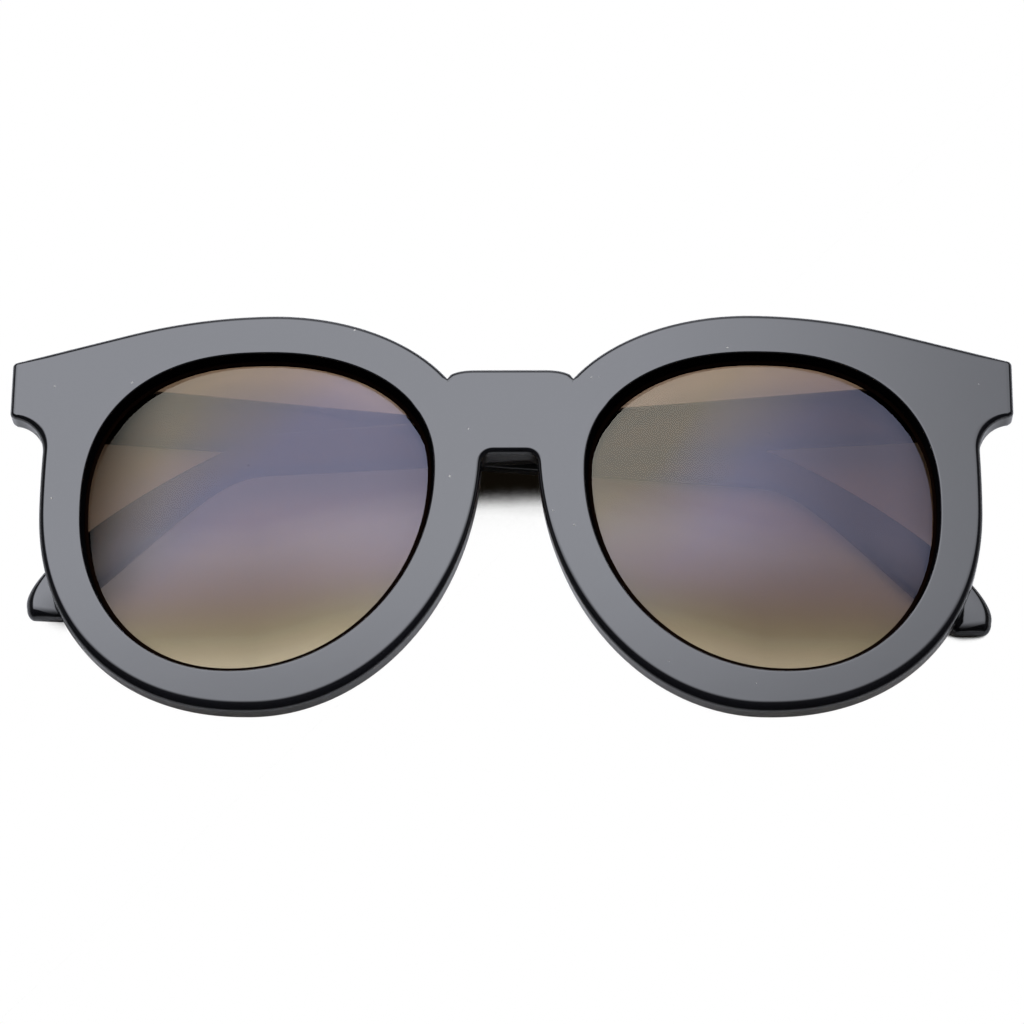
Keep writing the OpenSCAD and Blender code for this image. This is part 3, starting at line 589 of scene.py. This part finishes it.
def temple_ring(low, top, t, draw=0.0, edge_r=TEMPLE_EDGE_R):
    """Rounded section between two edge points, drawn in towards a closed end."""
    along = (top - low).normalized()
    w, h = (top - low).length - 2 * draw, t - 2 * draw
    r = min(max(edge_r - draw, TEMPLE_EDGE_R / 4), h / 2.1)
    mid = (top + low) / 2
    ring = []
    for c, (sx, sz) in enumerate(((1, 1), (-1, 1), (-1, -1), (1, -1))):
        for k in range(CORNER_STEPS + 1):
            a = math.radians(90 * c + 90 * k / CORNER_STEPS)
            across = sx * (w / 2 - r) + r * math.cos(a)
            up = sz * (h / 2 - r) + r * math.sin(a)
            ring.append(Vector((mid.x + across * along.x, mid.y + across * along.y,
                                t / 2 + up - low_axis_z)))
    return ring


def temple_t(s):
    """Thickness: full at the hinge, then a straight taper to the thinner rest of the temple."""
    f = min(max((s / BEND_START - TAPER_START) / TAPER_L, 0), 1)
    return TEMPLE_T - SEAT_RELIEF + (TEMPLE_MID_T - TEMPLE_T + SEAT_RELIEF) * f


temple_skin = []
for k in range(BUTT_RINGS + 1):
    a = math.radians(90 * k / BUTT_RINGS)
    s = -BUTT + EASE * (1 - math.cos(a))
    temple_skin.append(temple_ring(edge_line(s, -1), edge_line(s, 1), temple_t(0),
                                   EASE * (1 - math.sin(a))))
for k in range(1, STRAIGHT_RINGS):
    s = -BUTT + EASE + (BEND_START + BUTT - EASE) * k / STRAIGHT_RINGS
    temple_skin.append(temple_ring(edge_line(s, -1), edge_line(s, 1), temple_t(s)))
for k in range(EAR_RINGS + 1):
    u = k / EAR_RINGS
    temple_skin.append(temple_ring(bezier(low_curve, u), bezier(top_curve, u),
                                   TEMPLE_MID_T + (TEMPLE_TIP_T - TEMPLE_MID_T) * u, 0.0,
                                   TEMPLE_EDGE_R + (TIP_EDGE_R - TEMPLE_EDGE_R) * u))
for k in range(1, TIP_RINGS + 1):
    a = math.radians(90 * k / TIP_RINGS)
    end = Vector((TEMPLE_REACH, tip_corner * (1 - math.sin(a)) - TIP_DROP))
    temple_skin.append(temple_ring(bezier(low_curve, 1), end, TEMPLE_TIP_T, TIP_EDGE_R * (1 - math.cos(a)),
                                   TIP_EDGE_R))
temple_verts, temple_faces = closed_rings(temple_skin)
for side, sign, z in (("left", 1, low_axis_z), ("right", -1, high_axis_z)):
    placed = [MM * Vector((sign * (v.x - axis_x), v.y + hinge_y, v.z + z)) for v in temple_verts]
    piece(f"temple_{side}_acetate", placed, temple_faces, acetate, f"temple_{side}",
          [f"temple_{side}"], sharp=50)

# Core wires
# A round wire of nickel silver runs inside each temple, so that the ear bend can be set warm.
# It is drawn through a die, which leaves fine lines along it, and lies hidden in the acetate.
CORE_D, CORE_BEND_R, CORE_TAIL = 1.4, 30.0, 12.0
CORE_BEND = math.radians(38)
CORE_Z = TEMPLE_TIP_T / 2
# Stations along the wire's straight part
CORE_STATIONS = (-BUTT / 2, 20, 45, 70, 90)
CORE_BEND_STEPS, CORE_SIDES = 16, 24
# The real lines are a tenth as wide, and are drawn this coarse to show
DRAWN_LINE_L, DRAWN_LINE_W = 16.7, 0.111

# Drawn nickel silver: a warm grey metal, soft in its gloss, with lines along the wire
wire, t = new_material("nickel_silver_wire_drawn")
where = add(t, "ShaderNodeTexCoord").outputs["Object"]
across_line = 1 / (DRAWN_LINE_W * MM)
stretch = add(t, "ShaderNodeMapping", {"Vector": where,
                                       "Scale": (1 / (DRAWN_LINE_L * MM), across_line, across_line)})
lines = add(t, "ShaderNodeTexNoise", {"Vector": stretch.outputs[0], "Scale": 1.0, "Detail": 3.0})
wire_tone = add(t, "ShaderNodeMix", {"Factor": lines.outputs["Fac"], "A": paint("#a9a59b"),
                                     "B": paint("#c9c5ba")}, data_type="RGBA")
wire_rough = add(t, "ShaderNodeMapRange", {"Value": lines.outputs["Fac"], "To Min": 0.2, "To Max": 0.42})
metal = add(t, "ShaderNodeBsdfPrincipled", {"Base Color": wire_tone.outputs["Result"], "Metallic": 1.0,
                                            "Roughness": wire_rough.outputs[0]})
add(t, "ShaderNodeOutputMaterial", {"Surface": metal.outputs[0]})

core_path = [Vector((s, -s * math.tan(TEMPLE_SLOPE), 0)) for s in CORE_STATIONS]
bend_mid = (Vector((BEND_START, -BEND_START * math.tan(TEMPLE_SLOPE), 0))
            - CORE_BEND_R * Vector((math.sin(TEMPLE_SLOPE), math.cos(TEMPLE_SLOPE), 0)))
for k in range(CORE_BEND_STEPS + 1):
    down = TEMPLE_SLOPE + CORE_BEND * k / CORE_BEND_STEPS
    core_path.append(bend_mid + CORE_BEND_R * Vector((math.sin(down), math.cos(down), 0)))
core_path.append(core_path[-1] + CORE_TAIL * Vector((math.cos(down), -math.sin(down), 0)))


def group(name, inputs):
    """Empty geometry tree with a geometry input and output and the given named sizes."""
    tree = bpy.data.node_groups.new(name, "GeometryNodeTree")
    tree.interface.new_socket("Geometry", in_out="INPUT", socket_type="NodeSocketGeometry")
    tree.interface.new_socket("Geometry", in_out="OUTPUT", socket_type="NodeSocketGeometry")
    for label, kind, value in inputs:
        made = tree.interface.new_socket(label, in_out="INPUT", socket_type=kind)
        made.default_value = value
    return tree


def grow(made, tree, **sizes):
    """Runs a geometry tree on an object with these inputs, and keeps the result as a plain mesh."""
    modifier = made.modifiers.new(tree.name, "NODES")
    modifier.node_group = tree
    for item in tree.interface.items_tree:
        if item.in_out == "INPUT" and item.name in sizes:
            modifier[item.identifier] = sizes[item.name]
    ready = made.evaluated_get(bpy.context.evaluated_depsgraph_get())
    mesh = bpy.data.meshes.new_from_object(ready)
    made.modifiers.remove(modifier)
    made.data = mesh
    return made


sweep = group("drawn_wire", [("Diameter", "NodeSocketFloat", CORE_D * MM),
                             ("Sides", "NodeSocketInt", CORE_SIDES)])
given = add(sweep, "NodeGroupInput")
path = add(sweep, "GeometryNodeMeshToCurve", {"Mesh": given.outputs["Geometry"]})
half_d = add(sweep, "ShaderNodeMath", {0: given.outputs["Diameter"], 1: 0.5}, operation="MULTIPLY")
profile = add(sweep, "GeometryNodeCurvePrimitiveCircle", {"Resolution": given.outputs["Sides"],
                                                          "Radius": half_d.outputs[0]})
swept = add(sweep, "GeometryNodeCurveToMesh", {"Curve": path.outputs[0],
                                               "Profile Curve": profile.outputs[0], "Fill Caps": True})
real = add(sweep, "GeometryNodeRealizeInstances", {"Geometry": swept.outputs[0]})
coated = add(sweep, "GeometryNodeSetMaterial", {"Geometry": real.outputs[0], "Material": wire})
add(sweep, "NodeGroupOutput", {"Geometry": coated.outputs[0]})

for side, sign, z in (("left", 1, low_axis_z), ("right", -1, high_axis_z)):
    places = [MM * Vector((sign * (v.x - axis_x), v.y + hinge_y, CORE_Z - low_axis_z + z))
              for v in core_path]
    mesh = bpy.data.meshes.new(f"core_{side}")
    mesh.from_pydata([tuple(v) for v in places], [(k, k + 1) for k in range(len(places) - 1)], [])
    made = bpy.data.objects.new(f"core_wire_{side}_drawn", mesh)
    bpy.context.scene.collection.objects.link(made)
    grow(made, sweep, Diameter=CORE_D * MM, Sides=CORE_SIDES)
    finish(made, wire, f"temple_{side}", [f"temple_core_{side}"])

# Hinges
# Each hinge has five knuckles, three on the front and two on the temple, stamped and milled from
# nickel silver. Its leaves are sunk hot into the acetate, so only plates and knuckles show.
EDGE_BREAK = 0.06
# The mill lines are drawn coarser than the real ones to show
MILL_LINE_W, MILL_LINE_L, SMUDGE_W = 0.111, 2.5, 1.11

# Nickel silver, milled and barrelled: a pale warm grey in smudged tones, with fine mill lines in its
# gloss
hinge_metal, t = new_material("nickel_silver_hinge_barrelled")
where = add(t, "ShaderNodeTexCoord").outputs["Object"]
across_line = 1 / (MILL_LINE_W * MM)
stretch = add(t, "ShaderNodeMapping", {"Vector": where,
                                       "Scale": (across_line, 1 / (MILL_LINE_L * MM), across_line)})
mill_lines = add(t, "ShaderNodeTexNoise", {"Vector": stretch.outputs[0], "Scale": 1.0, "Detail": 3.0,
                                           "Roughness": 0.6})
smudge = add(t, "ShaderNodeTexNoise", {"Vector": where, "Scale": 1 / (SMUDGE_W * MM), "Detail": 3.0})
tone = add(t, "ShaderNodeMix", {"Factor": smudge.outputs["Fac"], "A": paint("#b3afa5"),
                                "B": paint("#d4d1c8")}, data_type="RGBA")
metal_rough = add(t, "ShaderNodeMapRange", {"Value": mill_lines.outputs["Fac"], "To Min": 0.2,
                                            "To Max": 0.42})
scored = add(t, "ShaderNodeBump", {"Height": mill_lines.outputs["Fac"], "Strength": 0.25,
                                   "Distance": 0.00001})
metal = add(t, "ShaderNodeBsdfPrincipled", {"Base Color": tone.outputs["Result"], "Metallic": 1.0,
                                            "Roughness": metal_rough.outputs[0],
                                            "Normal": scored.outputs[0]})
add(t, "ShaderNodeOutputMaterial", {"Surface": metal.outputs[0]})

for side in ("left", "right"):
    for part, rides in ((f"hinge_front_leaf_{side}", "front"),
                        (f"hinge_temple_leaf_{side}", f"temple_{side}")):
        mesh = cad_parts[part].data.copy()
        bm = bmesh.new()
        bm.from_mesh(mesh)
        bmesh.ops.remove_doubles(bm, verts=bm.verts, dist=MERGE)
        bmesh.ops.dissolve_limit(bm, angle_limit=math.radians(1), verts=bm.verts, edges=bm.edges)
        bm.to_mesh(mesh)
        bm.free()
        made = bpy.data.objects.new(f"{part}_milled", mesh)
        bpy.context.scene.collection.objects.link(made)
        rounding = made.modifiers.new("edge_break", "BEVEL")
        rounding.width = EDGE_BREAK * MM
        rounding.segments = 2
        rounding.angle_limit = math.radians(40)
        rounding.harden_normals = False
        ready = made.evaluated_get(bpy.context.evaluated_depsgraph_get())
        rounded = bpy.data.meshes.new_from_object(ready)
        made.modifiers.remove(rounding)
        made.data = rounded
        finish(made, hinge_metal, rides, [part], sharp=30)

# Hinge screws
# A slotted cheese-head screw goes down through the knuckles of each hinge from the brow side.
# It is turned from steel, with a bevelled head and a saw-cut slot.
BORE_R, SCREW_GAP = 0.75, 0.05
KNUCKLE_H, KNUCKLE_GAP = 1.05, 0.1
HINGE_H = 5 * (KNUCKLE_H + KNUCKLE_GAP) - KNUCKLE_GAP
HEAD_R, HEAD_H = 1.125, 0.525
SHANK_R, POINT_R, CROWN_R = BORE_R - SCREW_GAP, 0.6, 0.5
SLOT_W, SLOT_D, SAW_L = 0.36, 0.26, 4.0
SCREW_SIDES = 48
# A closed end's ring is this wide, because a ring of no width has no sides
PIN_R = 0.01
# The turned rings are drawn coarser than the real ones to show
TURN_LINE_L, TURN_LINE_W = 1.667, 0.0833

# Turned steel: a cool grey, darker and glossier than the hinge, with fine rings round it
screw_steel, t = new_material("screw_steel_turned")
where = add(t, "ShaderNodeTexCoord").outputs["Object"]
along_line = 1 / (TURN_LINE_L * MM)
stretch = add(t, "ShaderNodeMapping", {"Vector": where,
                                       "Scale": (along_line, 1 / (TURN_LINE_W * MM), along_line)})
turned = add(t, "ShaderNodeTexNoise", {"Vector": stretch.outputs[0], "Scale": 1.0, "Detail": 2.0})
screw_tone = add(t, "ShaderNodeMix", {"Factor": turned.outputs["Fac"], "A": paint("#9fa1a4"),
                                      "B": paint("#c6c8ca")}, data_type="RGBA")
screw_rough = add(t, "ShaderNodeMapRange", {"Value": turned.outputs["Fac"], "To Min": 0.18,
                                            "To Max": 0.34})
metal = add(t, "ShaderNodeBsdfPrincipled", {"Base Color": screw_tone.outputs["Result"], "Metallic": 1.0,
                                            "Roughness": screw_rough.outputs[0]})
add(t, "ShaderNodeOutputMaterial", {"Surface": metal.outputs[0]})

# The screw's own outline, from its end up to the middle of its head, is turned round the axis
head_top = HINGE_H + HEAD_H
turn_line = ((0, 0.02), (POINT_R, 0.0), (SHANK_R, 0.1), (SHANK_R, HINGE_H - 0.01),
             (HEAD_R - 0.06, HINGE_H), (HEAD_R, HINGE_H + 0.06), (HEAD_R, head_top - 0.16),
             (HEAD_R - 0.05, head_top - 0.08), (HEAD_R - 0.16, head_top - 0.02), (CROWN_R, head_top),
             (0, head_top))
screw_rings = [[Vector((max(r, PIN_R) * math.cos(2 * math.pi * k / SCREW_SIDES), y,
                        -max(r, PIN_R) * math.sin(2 * math.pi * k / SCREW_SIDES))) * MM
                for k in range(SCREW_SIDES)] for r, y in turn_line]
screw_verts, screw_faces = closed_rings(screw_rings)
mesh = bpy.data.meshes.new("screw_blank")
mesh.from_pydata([tuple(v) for v in screw_verts], [], screw_faces)
blank = bpy.data.objects.new("hinge_screws_slotted", mesh)
bpy.context.scene.collection.objects.link(blank)
bm = bmesh.new()
bm.from_mesh(mesh)
bmesh.ops.recalc_face_normals(bm, faces=bm.faces)
bm.to_mesh(mesh)
bm.clear()
bmesh.ops.create_cube(bm, size=1)
bmesh.ops.scale(bm, vec=(SAW_L * MM, 2 * SLOT_D * MM, SLOT_W * MM), verts=bm.verts)
bmesh.ops.translate(bm, vec=(0, head_top * MM, 0), verts=bm.verts)
saw_mesh = bpy.data.meshes.new("saw")
bm.to_mesh(saw_mesh)
bm.free()
saw = bpy.data.objects.new("saw", saw_mesh)
bpy.context.scene.collection.objects.link(saw)
slot_cut = blank.modifiers.new("slot", "BOOLEAN")
slot_cut.object = saw
slot_cut.solver = "EXACT"
cut_mesh = bpy.data.meshes.new_from_object(blank.evaluated_get(bpy.context.evaluated_depsgraph_get()))
blank.modifiers.remove(slot_cut)
blank.data = cut_mesh
bpy.data.objects.remove(saw)

# Each screw comes to rest with its slot at a turn of its own
both_screws = group("screw_pair", [("Start", "NodeSocketVector", (0, 0, 0)),
                                   ("End", "NodeSocketVector", (0, 0, 0)),
                                   ("Most Turn", "NodeSocketFloat", 1.2), ("Seed", "NodeSocketInt", 3)])
given = add(both_screws, "NodeGroupInput")
pair = add(both_screws, "GeometryNodeMeshLine", {"Count": 2, "Start Location": given.outputs["Start"],
                                                 "Offset": given.outputs["End"]}, mode="END_POINTS")
spin = add(both_screws, "FunctionNodeRandomValue", {"Seed": given.outputs["Seed"]}, data_type="FLOAT")
wide = add(both_screws, "ShaderNodeMath", {0: spin.outputs["Value"], 1: given.outputs["Most Turn"]},
           operation="MULTIPLY")
turn = add(both_screws, "ShaderNodeCombineXYZ", {"Y": wide.outputs[0]})
set_down = add(both_screws, "GeometryNodeInstanceOnPoints", {"Points": pair.outputs[0],
                                                             "Instance": given.outputs["Geometry"],
                                                             "Rotation": turn.outputs[0]})
real = add(both_screws, "GeometryNodeRealizeInstances", {"Geometry": set_down.outputs[0]})
coated = add(both_screws, "GeometryNodeSetMaterial", {"Geometry": real.outputs[0],
                                                      "Material": screw_steel})
add(both_screws, "NodeGroupOutput", {"Geometry": coated.outputs[0]})
foot_y = hinge_y - HINGE_H / 2
grow(blank, both_screws, Start=(-axis_x * MM, foot_y * MM, low_axis_z * MM),
     End=(axis_x * MM, foot_y * MM, high_axis_z * MM))
finish(blank, screw_steel, "front", ["hinge_screw_left", "hinge_screw_right"])

# Table, light and camera
# The sunglasses lie on a seamless white table under one wide softbox above the brow, with a weak
# fill from low down all round. The rest of the room is dark, so that round edges reflect as black
# lines.
TABLE_HALF = 3.0
# The laminate's paper has faint clouds this wide, in millimetres
PULP_W = 25.0
SOFTBOX_UP, SOFTBOX_POWER = 0.4, 6.9
# Its x runs backwards, so that the sheet faces down
SOFTBOX_X, SOFTBOX_Y = (0.6, -0.6), (0.0, 2.5)
CAMERA_AT = Vector((0.00377, -0.26334, 0.76701))
CAMERA_AIM = Vector((0.0002, 0.0011, 0.012))
CAMERA_LENS, CAMERA_ROLL = 186.88, math.radians(0.53)


def stage_sheet(name, corners, z, material):
    """A flat sheet of the scene that isn't part of the object."""
    (x0, y0), (x1, y1) = corners
    mesh = bpy.data.meshes.new(name)
    mesh.from_pydata([(x0, y0, z), (x1, y0, z), (x1, y1, z), (x0, y1, z)], [], [(0, 1, 2, 3)])
    sheet = bpy.data.objects.new(name, mesh)
    mesh.materials.append(material)
    bpy.context.scene.collection.objects.link(sheet)


# White laminate: matt, with hardly visible clouds of its paper
table_paint, t = new_material("white_table_laminate")
where = add(t, "ShaderNodeTexCoord").outputs["Object"]
pulp = add(t, "ShaderNodeTexNoise", {"Vector": where, "Scale": 1 / (PULP_W * MM), "Detail": 2.0})
white = add(t, "ShaderNodeMix", {"Factor": pulp.outputs["Fac"], "A": paint("#f7f7f7"),
                                 "B": paint("#fafafa")}, data_type="RGBA")
matt = add(t, "ShaderNodeBsdfDiffuse", {"Color": white.outputs["Result"]})
# Seen through the lenses it glows a little with painted light, for its overexposed white: more on
# the left, which is the softbox's bright side, and fading to the right
rays = add(t, "ShaderNodeLightPath")
spot = add(t, "ShaderNodeSeparateXYZ", {0: where})
painted_glow_falloff = add(t, "ShaderNodeMapRange", {"Value": spot.outputs["X"], "From Min": -0.02, "From Max": 0.03,
                                     "To Min": 0.14, "To Max": 0.03})
glow = add(t, "ShaderNodeMath", {0: rays.outputs["Is Transmission Ray"], 1: painted_glow_falloff.outputs[0]},
           operation="MULTIPLY")
painted_glow = add(t, "ShaderNodeEmission", {"Color": paint("#ffffff"), "Strength": glow.outputs[0]})
lit_table = add(t, "ShaderNodeAddShader", {0: matt.outputs[0], 1: painted_glow.outputs[0]})
# The camera sees the table overexposed, with nothing left of it but the shade close to the object.
# The rest is clear to camera rays, so a temple that opens downwards stays in view
close = add(t, "ShaderNodeAmbientOcclusion", {"Distance": 0.007}, samples=28)
wider = add(t, "ShaderNodeAmbientOcclusion", {"Distance": 0.02}, samples=28)
open_sky = add(t, "ShaderNodeMath", {0: close.outputs["AO"], 1: wider.outputs["AO"]}, operation="ADD")
# The shade wanes away from the bridge
off_middle = add(t, "ShaderNodeMath", {0: spot.outputs["X"]}, operation="ABSOLUTE")
brighter = add(t, "ShaderNodeMath", {0: off_middle.outputs[0], 1: 4.0, 2: open_sky.outputs[0]},
               operation="MULTIPLY_ADD")
lift = add(t, "ShaderNodeMapRange", {"Value": brighter.outputs[0], "From Min": 1.17, "From Max": 1.42,
                                     "To Min": 0.0, "To Max": 1.0})
shade = add(t, "ShaderNodeMix", {"Factor": lift.outputs[0], "A": paint("#0d0a06"),
                                 "B": paint("#ffffff")}, data_type="RGBA")
washed = add(t, "ShaderNodeBsdfTransparent", {"Color": shade.outputs["Result"]})
table_mix = add(t, "ShaderNodeMixShader", {0: rays.outputs["Is Camera Ray"], 1: lit_table.outputs[0],
                                           2: washed.outputs[0]})
add(t, "ShaderNodeOutputMaterial", {"Surface": table_mix.outputs[0]})
stage_sheet("table", ((-TABLE_HALF, -TABLE_HALF), (TABLE_HALF, TABLE_HALF)), 0, table_paint)

# The room: white where the camera looks past the table. For all other rays it is a pale band at the
# horizon, brighter beyond the brow, and dim above
scene = bpy.context.scene
scene.view_settings.view_transform = "Standard"
world = bpy.data.worlds.new("studio")
world.use_nodes = True
w = world.node_tree
w.nodes.clear()
way = add(w, "ShaderNodeTexCoord").outputs["Generated"]
toward = add(w, "ShaderNodeSeparateXYZ", {0: way})
horizon = add(w, "ShaderNodeMapRange", {"Value": toward.outputs["Z"], "From Min": 0.1, "From Max": 0.25,
                                        "To Min": 0.45, "To Max": 0.05})
behind = add(w, "ShaderNodeMapRange", {"Value": toward.outputs["Y"], "From Min": -0.3, "From Max": 0.3,
                                       "To Min": 0.6, "To Max": 2.0})
wall = add(w, "ShaderNodeMath", {0: horizon.outputs[0], 1: behind.outputs[0]}, operation="MULTIPLY")
air = add(w, "ShaderNodeBackground", {"Color": paint("#ffffff"), "Strength": wall.outputs[0]})
paper = add(w, "ShaderNodeBackground", {"Color": paint("#ffffff"), "Strength": 1.0})
rays = add(w, "ShaderNodeLightPath")
seen = add(w, "ShaderNodeMixShader", {0: rays.outputs["Is Camera Ray"], 1: air.outputs[0],
                                      2: paper.outputs[0]})
add(w, "ShaderNodeOutputWorld", {"Surface": seen.outputs[0]})
scene.world = world

# The softbox is a sheet of cloth 0.4 m up, bright in its middle and fading towards its edges. The
# camera looks past it, so the sheet itself is clear to camera rays
softbox_cloth, t = new_material("softbox_cloth_white")
where = add(t, "ShaderNodeTexCoord").outputs["Object"]
spot = add(t, "ShaderNodeSeparateXYZ", {0: where})
bright = None
for axis, low, high, at_low, at_high in (("Y", 0.004, 0.132, 0.0, SOFTBOX_POWER),
                                         ("Y", 0.25, 0.6, 1.0, 0.2),
                                         ("X", -0.36, -0.22, 0.0, 1.0), ("X", 0.0, 0.2, 1.0, 0.52),
                                         ("X", 0.22, 0.36, 1.0, 0.0)):
    fade = add(t, "ShaderNodeMapRange", {"Value": spot.outputs[axis], "From Min": low, "From Max": high,
                                         "To Min": at_low, "To Max": at_high},
               interpolation_type="SMOOTHSTEP")
    bright = fade if bright is None else add(t, "ShaderNodeMath",
                                             {0: bright.outputs[0], 1: fade.outputs[0]},
                                             operation="MULTIPLY")
lamp = add(t, "ShaderNodeEmission", {"Color": paint("#f2f5ff"), "Strength": bright.outputs[0]})
clear = add(t, "ShaderNodeBsdfTransparent")
lit = add(t, "ShaderNodeAddShader", {0: lamp.outputs[0], 1: clear.outputs[0]})
rays = add(t, "ShaderNodeLightPath")
seen = add(t, "ShaderNodeMixShader", {0: rays.outputs["Is Camera Ray"], 1: lit.outputs[0],
                                      2: clear.outputs[0]})
add(t, "ShaderNodeOutputMaterial", {"Surface": seen.outputs[0]})
stage_sheet("softbox", ((SOFTBOX_X[0], SOFTBOX_Y[0]), (SOFTBOX_X[1], SOFTBOX_Y[1])), SOFTBOX_UP,
            softbox_cloth)

# The camera stands over the cheek side and looks down at the face through a long lens
ahead = (CAMERA_AIM - CAMERA_AT).normalized()
right = ahead.cross(Vector((0, 1, 0))).normalized()
above = right.cross(ahead)
across = math.cos(CAMERA_ROLL) * right + math.sin(CAMERA_ROLL) * above
upward = -math.sin(CAMERA_ROLL) * right + math.cos(CAMERA_ROLL) * above
camera = bpy.data.objects.new("camera", bpy.data.cameras.new("camera"))
camera.data.lens = CAMERA_LENS
camera.data.sensor_width = 36.0
camera.data.clip_start, camera.data.clip_end = 0.01, 20.0
facing = Matrix((across, upward, -ahead)).transposed().to_4x4()
camera.matrix_world = Matrix.Translation(CAMERA_AT) @ facing
scene.collection.objects.link(camera)
scene.camera = camera
